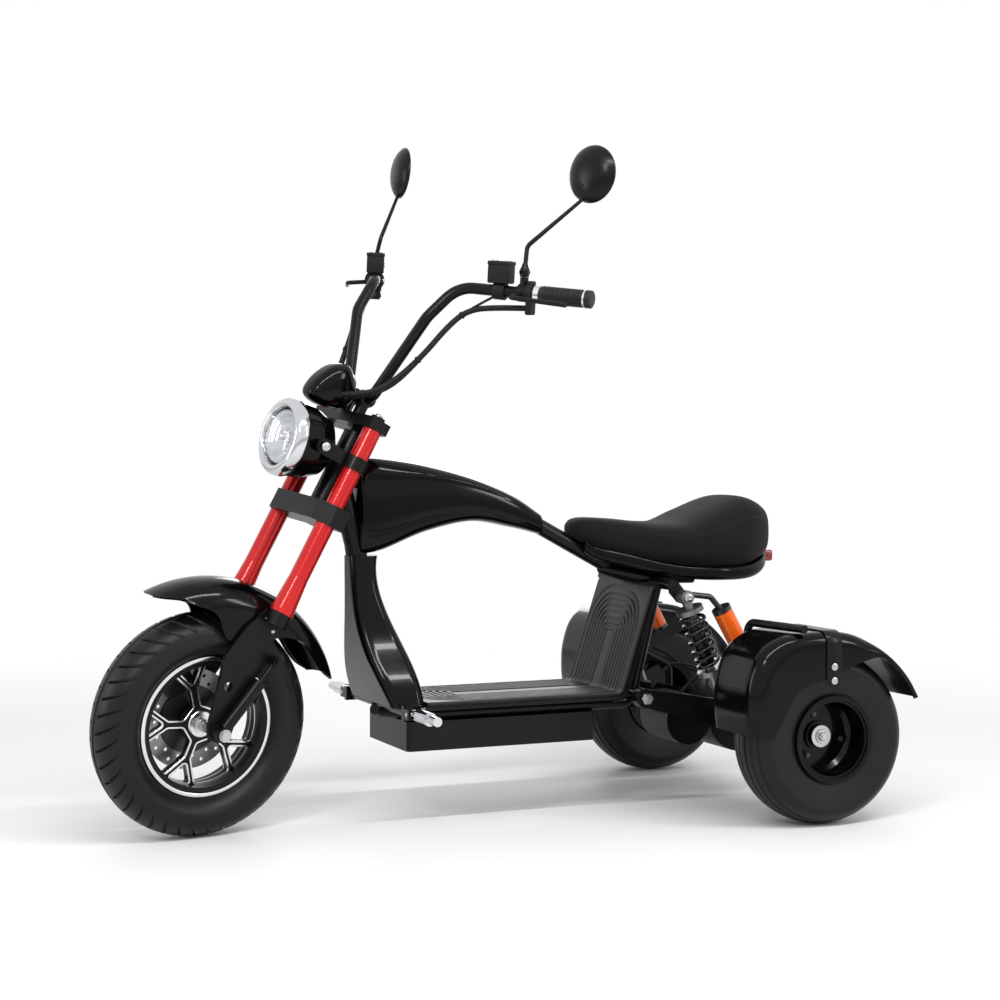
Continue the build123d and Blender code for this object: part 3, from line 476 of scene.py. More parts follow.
def redTubeFinish(look):
    # bright red paint over brushed tube: fine lines up the fork under a clear coat
    f = Finish("redTube")
    tilted = f.mapped(f.place, Rotation=(0, layout["rake"], 0))
    lines = f.noise(1.0, 3.0, 0.6, f.mapped(tilted, Scale=look["lineScale"]))
    broad = f.noise(look["broadScale"], 3.0).between(0.35, 0.75)
    tone = f.blend(lines.between(0.3, 0.7), look["dark"], look["light"])
    tone = f.blend(broad * look["warmShare"], tone, look["warm"])
    return f.set(colour=tone, roughness=look["rough"] + (lines - 0.5) * look["roughVary"], metallic=0.3, coat=0.35,
                 coatRoughness=0.06, specular=0.3, normal=f.bump(lines, look["grain"], 0.4))


def rubberFinish(name, look):
    # vulcanised rubber: chalky bloom in the low frequencies, moulding lines and fine pitting
    f = Finish(name)
    bloom = f.noise(14.0, 6.0, 0.65)
    pits = f.cells(look["pitScale"])
    grain = f.noise(950.0, 3.0)
    tone = f.blend(bloom.between(0.42, 0.75) * look["bloom"], look["colour"], look["bloomColour"])
    normal = f.bump(pits, 0.00015, 0.35, f.bump(grain, 0.00025, 0.5))
    return f.set(colour=tone, roughness=look["rough"] + (bloom - 0.5) * 0.2, specular=look["specular"], normal=normal)


rubbers = {
    "tyreRubber": {"colour": (0.005, 0.005, 0.0052), "bloom": 0.5, "bloomColour": (0.012, 0.0118, 0.0115),
                   "rough": 0.38, "pitScale": 420.0, "specular": 0.24},
    "gripRubber": {"colour": (0.006, 0.006, 0.0065), "bloom": 0.35, "bloomColour": (0.014, 0.014, 0.014),
                   "rough": 0.45, "pitScale": 600.0, "specular": 0.3},
    "matRubber": {"colour": (0.008, 0.008, 0.0085), "bloom": 0.6, "bloomColour": (0.024, 0.024, 0.025),
                  "rough": 0.4, "pitScale": 500.0, "specular": 0.28},
}

suede = {
    "dark": (0.003, 0.003, 0.0032), "light": (0.010, 0.010, 0.0105), "brushed": (0.014, 0.014, 0.0145),
    "thread": (0.016, 0.016, 0.0165), "napScale": 1500.0, "nap": 0.0006, "poreScale": 900.0, "pore": 0.0003,
    "stitches": 150.0, "stitchHalf": (0.004, 0.007), "stitchGap": (0.35, 0.45), "stitch": 0.0008,
    "rough": 0.82, "roughVary": 0.2, "sheen": 0.06,
}


def suedeFinish(look):
    # short nap: soft sheen, fine fibre noise, brushed patches, and a line of stitches beside the seam
    f = Finish("seatSuede")
    nap = f.noise(look["napScale"], 5.0, 0.7)
    brushed = f.noise(16.0, 5.0, 0.6)
    along, height, _ = f.coordinates(f.make("ShaderNodeUVMap", {"uv_map": "seat"}))
    onLine = 1 - abs(height - 0.5).between(*look["stitchHalf"])
    stitch = onLine * ((along * look["stitches"]) % 1.0).between(*look["stitchGap"])
    tone = f.blend(nap.between(0.3, 0.7), look["dark"], look["light"])
    tone = f.blend(brushed.between(0.4, 0.7) * 0.4, tone, look["brushed"])
    tone = f.blend(stitch * 0.6, tone, look["thread"])
    normal = f.bump(nap, look["nap"], 0.5, f.bump(f.cells(look["poreScale"]), look["pore"], 0.35))
    return f.set(colour=tone, roughness=look["rough"] + (brushed - 0.5) * look["roughVary"], sheen=look["sheen"],
                 sheenRoughness=0.4, specular=0.12, normal=f.bump(stitch, look["stitch"], 0.8, normal))


orangeCan = {
    "top": (116.0, 0, 414.0), "foot": (74.0, 0, 340.0),  # drawing millimetres; what follows is in metres
    "end": 0.0085, "fade": 0.0005, "radius": (0.0210, 0.0214), "dark": (0.86, 0.10, 0.004),
    "light": (0.98, 0.17, 0.008), "rings": 2600.0, "ringDepth": 0.00006,
}


def canFinish(look):
    # orange anodised can with brushed rings, black ends and neck, told apart by the place along the can
    f = Finish("orangeCan")
    x, _, z = f.coordinates()
    top, foot = onChassis(look["top"]), onChassis(look["foot"])
    length = float(np.linalg.norm(foot - top))
    runX, _, runZ = unit(foot - top).tolist()
    fromX, fromZ = x - float(top[0]), z - float(top[2])
    along = fromX * runX + fromZ * runZ
    offset = fromX * -runZ + fromZ * runX
    start, stop = look["end"], length - look["end"]
    inCan = along.between(start, start + look["fade"]) * (1 - along.between(stop, stop + look["fade"]))
    inCan = inCan * (1 - abs(offset).between(*look["radius"]))
    rings = f.lines(along, look["rings"])
    mottle = f.noise(30.0, 4.0)
    ends = f.blend(mottle, (0.012, 0.012, 0.012), (0.02, 0.02, 0.02))
    tone = f.blend(inCan, ends, f.blend(rings.between(0.3, 0.7), look["dark"], look["light"]))
    return f.set(colour=tone, roughness=0.28 + (mottle - 0.5) * 0.1, metallic=inCan * 0.15, coat=0.15,
                 normal=f.bump(rings, look["ringDepth"], 0.5))


turnedDisc = {
    "sweptFrom": (0.0655, 0.067), "rings": 2400.0, "ringDepth": 0.00008, "bell": (0.03, 0.03, 0.032),
    "dark": (0.18, 0.18, 0.19), "light": (0.34, 0.34, 0.35), "heat": (0.16, 0.13, 0.11),
}


def discFinish(look):
    # turned brake disc: rings on the swept face, told by the distance from the axle
    f = Finish("turnedDisc")
    axle, beside = onFrontWheel([[0, 0, 0], [0, 1.0, 0]])
    out = unit(beside - axle).tolist()
    away = [place - float(start) for place, start in zip(f.coordinates(), axle)]
    side = away[0] * out[0] + away[1] * out[1] + away[2] * out[2]
    radius = (away[0] * away[0] + away[1] * away[1] + away[2] * away[2] - side * side).root()
    rings = f.lines(radius, look["rings"], 3.0)
    swept = radius.between(*look["sweptFrom"])
    heat = f.noise(24.0, 3.0).between(0.5, 0.8)
    tone = f.blend(swept, look["bell"], f.blend(rings, look["dark"], look["light"]))
    return f.set(colour=f.blend(heat * 0.25, tone, look["heat"]), roughness=0.42 - rings * 0.15,
                 metallic=0.4 + swept * 0.6, normal=f.bump(rings, look["ringDepth"], 0.5))


def lensFinish():
    # clear moulded lens, slightly uneven in its gloss
    f = Finish("lensGlass")
    smear = f.noise(40.0, 4.0)
    return f.set(colour=(0.95, 0.96, 0.98), roughness=0.03 + (smear - 0.5) * 0.03, transmission=1.0, ior=1.45,
                 specular=0.5)


def tailFinish():
    # red lens: small prisms that show through the surface
    f = Finish("tailRed")
    prisms = f.cells(240.0)
    tone = f.blend(prisms.between(0.1, 0.6), (0.42, 0.010, 0.008), (0.16, 0.003, 0.003))
    return f.set(colour=tone, roughness=0.12 + prisms * 0.1, coat=0.6, normal=f.bump(prisms, 0.0004, 0.6))


def screenFinish():
    # dark panel behind glass with a faint grey cloud in it
    f = Finish("darkScreen")
    cloud = f.noise(12.0, 3.0)
    tone = f.blend(cloud.between(0.3, 0.7), (0.010, 0.012, 0.014), (0.022, 0.026, 0.03))
    return f.set(colour=tone, roughness=0.1 + cloud * 0.05, coat=1.0, coatRoughness=0.02)


finishes = {name: paintedFinish(name, look) for name, look in painted.items()}
finishes.update({name: rubberFinish(name, look) for name, look in rubbers.items()})
finishes.update(
    redTube=redTubeFinish(redTube), seatSuede=suedeFinish(suede), orangeCan=canFinish(orangeCan),
    turnedDisc=discFinish(turnedDisc), lensGlass=lensFinish(), tailRed=tailFinish(), darkScreen=screenFinish(),
)

finishNodes = {
    "glossBlack": "rear_rim_left rear_rim_right front_mudguard headlight_bowl display body_shell leg_fairing "
                  "seat_pan rear_mudguard_left rear_mudguard_right",
    "castBlack": "front_rim fork_legs brake_caliper lower_clamp upper_yoke brake_levers battery_box rear_axle motor",
    "satinBlack": "front_dampers lamp_bracket handlebar frame floor_pan swing_arm guard_straps grab_rails "
                  "peg_brackets",
    "matteBlack": "brake_reservoirs switch_pods mirrors",
    "brightChrome": "headlight_bezel peg_left peg_right",
    "tyreRubber": "front_tyre rear_tyre_left rear_tyre_right",
    "turnedDisc": "brake_disc", "redTube": "fork_tubes", "wornSteel": "front_spindle", "lensGlass": "headlight_lens",
    "gripRubber": "grips", "mirrorSilver": "mirror_glasses", "hoseBlack": "wiring", "matRubber": "floor_mat",
    "seatSuede": "seat_cushion", "tailRed": "tail_light", "castAlloy": "rear_shocks", "springBlack": "rear_springs",
    "orangeCan": "rear_reservoirs",
}
nodeFinish = {nodeName: finish for finish, nodeNames in finishNodes.items() for nodeName in nodeNames.split()}
for nodeName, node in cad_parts.items():
    for materialSlot in node.material_slots:
        materialSlot.material = finishes[nodeFinish[nodeName]]
    if not node.material_slots:
        node.data.materials.append(finishes[nodeFinish[nodeName]])
print("finishes made")

frontTyre = {
    "radius": 217.0, "half": 53.5, "crown": 40.0, "rim": 135.0, "lip": 28.4, "bead": 10.0, "slope": 5.0,
    "waist": 0.04, "columns": 984, "rows": 52,
    "grooves": 41, "grooveDepth": 4.6, "grooveStart": 9.0, "grooveEnd": (66, 71), "grooveHalf": 1.5,
    "flare": 2.0, "flareAt": 70.0, "sweep": 9.0, "bend": 1.6, "centreDepth": 2.6, "centreHalf": 1.6,
    "wallLine": {"at": 76.0, "half": 2.2, "depth": 0.8},
}
rearTyre = {
    "radius": 172.0, "half": 63.5, "crown": 34.0, "rim": 86.0, "lip": 56.4, "bead": 10.0, "slope": 5.0,
    "waist": 0.04, "columns": 180, "rows": 130,
    "grooveAt": (-43.0, -27.0, -9.5, 9.5, 27.0, 43.0), "grooveDepth": 4.2, "grooveHalf": 2.1,
}


def tyreSection(t):
    # closed section (radius, along): half ellipse of tread, walls as a parabola through shoulder, waist and lip,
    # sloped bead seat; also the angle from the crown, 180 where it is no longer tread
    shoulder = t["radius"] - t["crown"]
    crown = np.linspace(-90, 90, t["rows"])
    angle = np.radians(crown)
    tread = np.stack([shoulder + t["crown"] * np.cos(angle), t["half"] * np.sin(angle)], -1)
    f = np.linspace(0, 1, 12)[1:]
    narrower = t["lip"] - t["half"]
    bulge = -4 * t["waist"] * t["half"] - narrower
    wallR = shoulder + (t["rim"] - shoulder) * f
    wallY = t["half"] + bulge * f + (narrower - bulge) * f * f
    left, right = np.stack([wallR, wallY], -1), np.stack([wallR, -wallY], -1)[::-1]
    seat, inner = t["rim"] - t["bead"], t["lip"] - t["slope"]
    section = np.vstack([tread, left, [[seat, inner], [seat, 0.0], [seat, -inner]], right])
    return section, np.concatenate([crown, np.full(len(section) - len(crown), 180.0)])


def crossGrooves(t, side, along, turn):
    # depth of grooves that sweep back from the crown, half a pitch apart on the two sides and wider outwards,
    # of one narrow groove round the crown and of a soft line where tread and wall meet
    pitch = 2 * math.pi / t["grooves"]
    lag = math.radians(t["sweep"]) * (side / t["flareAt"]) ** t["bend"]
    half = t["grooveHalf"] + t["flare"] * side / t["flareAt"]
    shift = np.where(along > 0, pitch / 2, 0.0)
    gap = np.abs((turn - lag + shift) % pitch - pitch / 2) * t["radius"]
    groove = 1 - smoothStep(gap, half - 0.9, half + 0.5)
    offCentre = np.abs(along)
    reach = smoothStep(offCentre, t["grooveStart"] - 1, t["grooveStart"] + 1) * (1 - smoothStep(side, *t["grooveEnd"]))
    centre = np.where(side < 90, 1 - smoothStep(offCentre, t["centreHalf"], t["centreHalf"] + 1.4), 0)
    line = t["wallLine"]
    meeting = np.where(side < 100, np.exp(-(((side - line["at"]) / line["half"]) ** 2)), 0)
    return np.maximum(groove * reach * t["grooveDepth"], centre * t["centreDepth"]) + meeting * line["depth"]


def ribGrooves(t, side, along, turn):
    # depth of straight grooves that run round the tyre and leave ribs between them
    near = np.min(np.abs(along - np.array(t["grooveAt"])), axis=1)[:, None]
    groove = (1 - smoothStep(near, t["grooveHalf"] - 0.6, t["grooveHalf"] + 0.6)) * t["grooveDepth"]
    return np.where(side < 80, groove + 0 * turn, 0.0)


def treadedTyre(t, grooves):
    # the section turned about the axle, each point pushed towards the axle by the groove depth there
    section, crownAngle = tyreSection(t)
    turn = np.linspace(0, 2 * math.pi, t["columns"], endpoint=False)[None]
    along = section[:, 1:]
    r = section[:, :1] - grooves(t, np.abs(crownAngle)[:, None], along, turn)
    grid = np.stack([r * np.cos(turn), along + 0 * turn, r * np.sin(turn)], -1)
    return surface(grid, closeRows=True, closeCols=True)


makePiece("frontTyreTread", [placed(treadedTyre(frontTyre, crossGrooves), onFrontWheel)], "front_wheel",
          "tyreRubber", ["front_tyre"])
sides = (("left", 1), ("right", -1))
for sideName, side in sides:
    makePiece(f"rearTyreTread_{sideName}", [placed(treadedTyre(rearTyre, ribGrooves), onRearWheel, side)],
              f"rear_wheel_{sideName}", "tyreRubber", [f"rear_tyre_{sideName}"])
print("tyres made")

frontGuard = {
    "section": [  # radius, half width
        (283, 0), (282, 16), (277.5, 34), (267, 50), (250, 61), (236, 65), (214, 65.6), (168, 65.6)],
    "edge": [  # angle round the axle in degrees, radius at which the side ends
        (66, 281.6), (68.5, 275), (74, 262), (80, 243), (86, 231), (90.5, 214), (93, 190), (97, 174),
        (110, 171), (121, 192), (131, 222), (141, 240), (152, 243), (159, 252), (164, 270)],
    "wall": 3.6, "bead": 1.5, "beadShare": (0.93, 0.99), "outwards": 0.4, "rows": 150, "columns": 72,
}


def frontMudguard(g):
    # for each angle round the axle, the section runs from the crest down both sides to the edge's radius there;
    # the inner skin lies one wall further in, and both swell to a bead along the rim
    section = smoothTable(g["section"], 200)
    run = runLength(section)
    edge = smoothTable(g["edge"], g["rows"])
    v = np.linspace(-1, 1, g["columns"])[None]
    at = np.abs(v) * np.interp(-edge[:, 1], -section[:, 0], run)[:, None]
    r, y = np.interp(at, run, section[:, 0]), np.interp(at, run, section[:, 1]) * np.sign(v)
    slope = unit(np.gradient(section, axis=0))
    nr, ny = np.interp(at, run, slope[:, 1]), np.interp(at, run, -slope[:, 0]) * np.sign(v)
    bead = g["bead"] * smoothStep(np.abs(v), *g["beadShare"])
    out, back, widest = bead * g["outwards"], g["wall"] + bead, g["section"][-1][1]
    radius = np.concatenate([r + nr * out, (r - nr * back)[:, ::-1]], 1)
    across = np.concatenate([np.clip(y + ny * out, -widest, widest), (y - ny * back)[:, ::-1]], 1)
    angle = np.radians(edge[:, :1])
    grid = np.stack([radius * np.cos(angle), across, radius * np.sin(angle)], -1)
    return surface(grid, closeCols=True, capRows=True)

makePiece("frontMudguard", [placed(frontMudguard(frontGuard), onFrontWheel)], "steering",
          "glossBlack", ["front_mudguard"], crease=50.0)

rearGuard = {
    "rows": [  # crest x, crest z, edge x, edge z, outer rounding, inner rounding
        (190, 189, 152, 185, 26, 20), (197.5, 236, 134, 215, 34, 26), (194, 292, 118, 245, 36, 28),
        (172, 345, 101, 268, 32, 26), (128, 376, 72, 286, 27, 22), (70, 383.6, 40, 293, 23, 18),
        (12, 383.6, 12, 299, 22.5, 17), (-28, 378, -24, 316, 22.5, 17), (-62, 365, -58, 327, 22, 16),
        (-98, 342.5, -90, 330, 9, 8), (-130, 316, -122, 308, 6, 6), (-158, 284, -148.5, 279, 6, 6),
        (-178.5, 250, -168, 246, 6, 6),
    ],
    "inner": 270.0, "outer": 440.0, "wall": 4.0, "count": 130, "leastRound": 1.5, "roundShare": 0.85,
}


def rearMudguard(g):
    # C-shaped section (inner flank, rounded roof, outer flank) carried from the front foot over to the tail
    rows = smoothTable(g["rows"], g["count"])
    crest, edge = rows[:, :2], rows[:, 2:4]
    depth = np.linalg.norm(edge - crest, axis=1)[:, None]
    inwards = (edge - crest) / depth
    rounding = np.minimum(rows[:, 4:], g["roundShare"] * depth)

    def skin(off):
        # (y, distance below the crest) of one skin, moved inwards by off
        q = np.linspace(0, math.pi / 2, 9)[None]
        b, a = (np.maximum(rounding[:, k : k + 1] - off, g["leastRound"]) for k in (0, 1))
        inner, outer = g["inner"] + off, g["outer"] - off
        roofY = (inner + a) + (outer - b - inner - a) * np.linspace(0, 1, 22)[None, 1:-1]
        f = np.linspace(0, 1, 8)[None, :-1]
        flankIn = depth + (a + off - depth) * f
        flankOut = (b + off) + (depth - b - off) * (1 - f[:, ::-1])
        y = [inner + 0 * flankIn, inner + a * (1 - np.cos(q)), roofY, outer - b * (1 - np.sin(q)),
             outer + 0 * flankOut]
        d = [flankIn, off + a * (1 - np.sin(q)), off + 0 * roofY, off + b * (1 - np.cos(q)), flankOut]
        return np.concatenate(y, 1), np.concatenate(d, 1)

    outside, inside = skin(0.0), skin(g["wall"])
    y, d = (np.concatenate([a, b[:, ::-1]], 1) for a, b in zip(outside, inside))
    x, z = (crest[:, k : k + 1] + inwards[:, k : k + 1] * d for k in (0, 1))
    return surface(np.stack([x, y, z], -1), closeCols=True, capRows=True)


guardShape = rearMudguard(rearGuard)
for sideName, shape in (("left", guardShape), ("right", mirrored(guardShape))):
    makePiece(f"rearMudguard_{sideName}", [placed(shape, onChassis)], "chassis", "glossBlack",
              [f"rear_mudguard_{sideName}"], crease=45.0)

strap = {
    "x": 20.0, "half": 17.0, "thick": 3.0, "line": [(288, 385.9), (441.9, 385.9), (441.9, 278)], "bend": 23.9,
    "corner": [(1, 0.4), (0.985, 0.8), (0.95, 1)],  # shares of half the width and half the thickness
}


def guardStrap(p):
    # a flat bar with softened edges carried over the roof's edge and down the side, round at its lower end
    line = resampled(roundedPath(p["line"], p["bend"], steps=14), 140)
    tangent = unit(np.gradient(line, axis=0))
    normal = np.stack([-tangent[:, 1], tangent[:, 0]], -1)
    left = np.clip(np.linalg.norm(line - line[-1], axis=1) / p["half"], 0, 1)
    half = p["half"] * np.sqrt(np.clip(1 - (1 - left) ** 2, 0.0, 1))[:, None]
    corner = np.array(p["corner"])
    ring = np.vstack([-corner, corner[::-1] * [1, -1], corner, corner[::-1] * [-1, 1]])
    wide, deep = ring[:, 0][None], ring[:, 1][None] * p["thick"] / 2
    y, z = (line[:, k : k + 1] + normal[:, k : k + 1] * deep for k in (0, 1))
    return surface(np.stack([p["x"] + half * wide, y, z], -1), closeCols=True, capRows=True)


makePiece("guardStraps", bothSides([guardStrap(strap)], onChassis), "chassis", "satinBlack",
          ["guard_straps"])
print("mudguards made")

wheelTrim = {
    "spokes": 5, "phase": math.radians(-4.0), "stem": 15.0, "arm": 11.0, "spread": math.radians(33.0),
    "forkAt": 67.0, "spider": 37.0, "reach": 115.0, "faces": ((7.0, 1), (-11.0, -1)), "corner": 5.0,
    "bevel": [(3.1, -0.3), (3.1, 0.5), (0.2, 0.5), (-0.35, -0.1), (-0.35, -2.2), (0.1, -2.2)],
    "ring": [(128.5, 33.05), (135.2, 33.05), (135.6, 33.6), (134.6, 34.3), (129.5, 34.3), (128.2, 33.7)],
    "cap": [(7.4, 6.1), (26.0, 6.1), (26.5, 7.4), (24.5, 9.5), (17.0, 10.4), (16.2, 12.6), (7.4, 12.6)],
}


def windowOutlines(w):
    # the two openings of one spoke, as in the cast wheel: inside the fork, and between two spokes
    c, s = math.cos(w["spread"]), math.sin(w["spread"])

    def onArm(offset):
        # where the arm's edge, moved sideways by offset, meets the circle that the windows end at
        x0, y0 = w["forkAt"] - offset * s, offset * c
        b = x0 * c + y0 * s
        run = -b + math.sqrt(b * b - x0 * x0 - y0 * y0 + w["reach"] ** 2)
        return np.array([x0 + run * c, y0 + run * s])

    def arc(a, b):
        t = np.linspace(math.atan2(a[1], a[0]), math.atan2(b[1], b[0]), 7)
        return w["reach"] * np.stack([np.cos(t), np.sin(t)], -1)

    armHalf, stemHalf = w["arm"] / 2, w["stem"] / 2
    inner, outer = onArm(-armHalf), onArm(armHalf)
    inside = np.vstack([[w["forkAt"] + armHalf / s, 0.0], arc(inner * [1, -1], inner)])
    foot = np.array([w["spider"], stemHalf])
    elbow = np.array([w["forkAt"] - armHalf / s + stemHalf * c / s, stemHalf])
    turn = 2 * math.pi / w["spokes"]
    flip = np.array([[math.cos(turn), math.sin(turn)], [math.sin(turn), -math.cos(turn)]])
    return [inside, np.vstack([foot, elbow, arc(outer, flip @ outer), flip @ elbow, flip @ foot])]


def edgeBand(outline, w, face, turnedTo):
    # a narrow machined bevel that runs round a window on one face of the web
    loop = resampled(roundedPath(outline, w["corner"], closed=True), 90, closed=True)
    tangent = unit(np.roll(loop, -1, 0) - np.roll(loop, 1, 0))
    outward = np.stack([tangent[:, 1], -tangent[:, 0]], -1)
    outward = outward * np.sign(((loop - loop.mean(0)) * outward).sum(1).mean())
    rings = []
    for out, high in w["bevel"]:
        flat = loop + outward * out
        rings.append(np.stack([flat[:, 0], np.full(len(flat), face + turnedTo * high), flat[:, 1]], -1))
    return surface(np.stack(rings, 1), closeRows=True, closeCols=True)


def aboutAxle(shape, angle):
    # the shape turned about the y axis
    c, s = math.cos(angle), math.sin(angle)
    return placed(shape, lambda p: p @ np.array([[c, 0, -s], [0, 1, 0], [s, 0, c]]))


trim = [lathe(wheelTrim["ring"], 160), mirrored(lathe(wheelTrim["ring"], 160)), lathe(wheelTrim["cap"], 64)]
for outline in windowOutlines(wheelTrim):
    for face, turnedTo in wheelTrim["faces"]:
        band = edgeBand(outline, wheelTrim, face, turnedTo)
        trim += [aboutAxle(band, wheelTrim["phase"] + number * 2 * math.pi / wheelTrim["spokes"])
                 for number in range(wheelTrim["spokes"])]
makePiece("frontWheelTrim", [placed(shape, onFrontWheel) for shape in trim], "front_wheel", "cutAlloy")

boltProfile = [(0.0, 0.0), (1.0, 0.0), (1.0, 0.55), (0.8, 0.9), (0.42, 1.0), (0.38, 0.75), (0.0, 0.7)]
nutProfile = [(0.0, 0.0), (1.0, 0.0), (1.0, 0.8), (0.88, 1.0), (0.5, 1.0), (0.5, 1.35), (0.0, 1.35)]


def bolt(origin, direction, radius, height, sides=18):
    # round head with a socket, drawn at unit size
    profile = np.array(boltProfile) * [radius, height]
    return turnAlong(lathe(profile, sides, closed=False), origin, direction)


def hexNut(origin, direction, radius, height):
    # six-sided nut with a chamfered top and a stub of thread, drawn at unit size
    profile = np.array(nutProfile) * [radius, height]
    return turnAlong(lathe(profile, 6, closed=False), origin, direction)


def circlePlaces(count, radius, y, startDegrees):
    # places evenly round a circle about the y axis
    angles = [math.radians(startDegrees + number * 360 / count) for number in range(count)]
    return [(radius * math.cos(angle), y, -radius * math.sin(angle)) for angle in angles]


discBolt = {"count": 5, "circle": 50.0, "y": -42.2, "start": 32.0, "radius": 6.5, "height": 5.0}
places = circlePlaces(discBolt["count"], discBolt["circle"], discBolt["y"], discBolt["start"])
heads = [bolt(place, (0, -1, 0), discBolt["radius"], discBolt["height"]) for place in places]
makePiece("discBolts", [placed(shape, onFrontWheel) for shape in heads], "front_wheel", "wornSteel")

rearHub = {
    "cap": [(0.0, 12.3), (22.0, 12.3), (22.6, 13.2), (21.6, 14.6), (14.0, 15.2), (13.2, 17.0), (0.0, 17.0)],
    "spindleNut": {"y": 17.0, "radius": 9.5, "height": 7.0},
    "wheelNuts": {"count": 3, "circle": 47.0, "y": 10.2, "start": -70.0, "radius": 6.0, "height": 4.0},
    "lip": [(75.8, 61.3), (84.5, 61.3), (86.6, 62.4), (86.2, 63.8), (83.0, 64.2), (76.5, 62.6)],
}
outwards = (0, 1, 0)
middleNut, outerNuts = rearHub["spindleNut"], rearHub["wheelNuts"]
places = circlePlaces(outerNuts["count"], outerNuts["circle"], outerNuts["y"], outerNuts["start"])
hubPieces = {
    "rearHubCap": ([lathe(rearHub["cap"], 48, closed=False),
                    hexNut((0, middleNut["y"], 0), outwards, middleNut["radius"], middleNut["height"])],
                   "steel", "wornSteel"),
    "rearWheelNuts": ([hexNut(place, outwards, outerNuts["radius"], outerNuts["height"]) for place in places],
                      "black_frame", "darkSteel"),
    "rearRimLip": ([lathe(rearHub["lip"], 128)], "black_frame", "glossBlack"),
}
for sideName, side in sides:
    for name, (shapes, slotName, finish) in hubPieces.items():
        makePiece(f"{name}_{sideName}", [placed(shape, onRearWheel, side) for shape in shapes],
                  f"rear_wheel_{sideName}", finish)
print("wheels dressed")

shock = {
    "top": (198.0, 171.3, 438.0), "foot": (110.0, 171.3, 216.0), "near": 36.0, "far": 156.0, "coil": 23.0,
    "wire": 3.9, "turns": 6.6, "steps": 380, "closedUp": 0.035,
    "sleeve": [(10.4, 60.0), (13.5, 60.0), (14.5, 62.0), (14.5, 150.0), (10.4, 150.0)],
}
shockTop = np.array(shock["top"])
shockDown = unit(np.array(shock["foot"]) - shockTop)


def coilSpring(s):
    # a helix about the damper, its end turns closed up, with a round wire carried along it
    across = np.array([0, 1.0, 0])
    third = np.cross(shockDown, across)
    t = np.linspace(0, 1, s["steps"])
    length = s["far"] - s["near"] - 2 * s["wire"]
    run = s["near"] + s["wire"] + length * (t - s["closedUp"] * np.sin(2 * math.pi * t))
    angle = 2 * math.pi * s["turns"] * t[:, None]
    path = shockTop + shockDown * run[:, None] + (across * np.cos(angle) + third * np.sin(angle)) * s["coil"]
    return tube(path, s["wire"], 12, up=shockDown)


makePiece("rearSprings", bothSides([coilSpring(shock)], onChassis), "chassis", "springBlack",
          ["rear_springs"])
sleeve = turnAlong(lathe(shock["sleeve"], 40), shockTop, shockDown)
makePiece("damperSleeves", bothSides([sleeve], onChassis), "chassis", "satinBlack")

hoseRoutes = {  # hose radius and its guide points, left side
    3.0: [(100, 150, 300), (84, 128, 296), (60, 104, 268), (30, 84, 252), (8, 64, 250)],
    3.6: [(150, 60, 228), (120, 74, 262), (84, 70, 276), (46, 60, 268), (20, 52, 248)],
}
hoses = [tube(resampled(routeLine(points), 80), radius, 10) for radius, points in hoseRoutes.items()]
makePiece("axleHoses", bothSides(hoses, onChassis), "chassis", "hoseBlack")
print("shocks made")

seat = {
    "rows": [  # x, bottom, top, half width
        (380, 562, 580, 18), (354, 546, 594, 46), (290, 518, 592, 84), (220, 500, 585, 116), (150, 489, 586, 136),
        (85, 486, 611, 143), (12, 488, 637, 127), (-46, 506, 620, 86), (-74, 534, 584, 34),
    ],
    "sections": 150, "around": 132, "boxy": 0.62, "endShare": 0.035, "crown": 0.05, "seamAngle": 0.16,
    "seamDepth": 0.9, "seamWidth": 0.0012, "stitchAbove": 0.1, "mapScale": 0.25,
}


def endShrink(count, endShare):
    # 1 along a shape and falling to 0 as a quarter circle over a share of its length at both ends
    share = np.linspace(0, 1, count)[:, None]
    ends = np.clip(np.minimum(share, 1 - share) / endShare, 0, 1)
    return np.sqrt(np.clip(1 - (1 - ends) ** 2, 0.0, 1))


def saddle(s):
    # super-ellipse sections along the seat, rounded off at both ends, with a seam groove along each side
    x, low, high, half = np.split(smoothTable(s["rows"], s["sections"]), 4, axis=1)
    wide, tall = superellipse(s["around"], s["boxy"])
    rise = np.sin(np.linspace(0, 2 * math.pi, s["around"], endpoint=False))
    fold = np.exp(-((rise - s["seamAngle"]) ** 2) / s["seamWidth"])
    tall = np.where(tall > 0, tall * (1 - s["crown"] * wide**2), tall)
    size = endShrink(s["sections"], s["endShare"]) * (1 - fold * s["seamDepth"] / np.maximum(half, 20))
    return np.stack([x + 0 * wide, half * wide * size, (low + high) / 2 + (high - low) / 2 * tall * size], -1)


def mapSeat(mesh, grid, s):
    # u is the share of the length from the back; v is the height in the section there, 0.5 at the stitches
    corners = np.zeros(len(mesh.loops), int)
    mesh.loops.foreach_get("vertex_index", corners)
    places = np.zeros(len(mesh.vertices) * 3)
    mesh.vertices.foreach_get("co", places)
    places = places.reshape(-1, 3)
    back, length = places[:, 0].min(), np.ptp(places[:, 0])
    u = (places[:, 0] - back) / length
    sectionU = (onChassis(grid[::-1, 0])[:, 0] - back) / length
    low, high = grid[::-1, :, 2].min(1) / 1000, grid[::-1, :, 2].max(1) / 1000
    middle = np.interp(u, sectionU, (low + high) / 2)
    reach = np.interp(u, sectionU, np.maximum(high - low, 0.008) / 2)
    level = (places[:, 2] - middle) / reach - s["seamAngle"] ** s["boxy"]
    v = 0.5 + (level - s["stitchAbove"]) * s["mapScale"]
    mesh.uv_layers.new(name="seat").data.foreach_set("uv", np.stack([u, v], -1)[corners].ravel())


seatGrid = saddle(seat)
seatPiece = makePiece("seatCover", [placed(surface(seatGrid, closeCols=True, capRows=True), onChassis)], "chassis",
                      "seatSuede", ["seat_cushion"], crease=80.0)
mapSeat(seatPiece.data, seatGrid, seat)

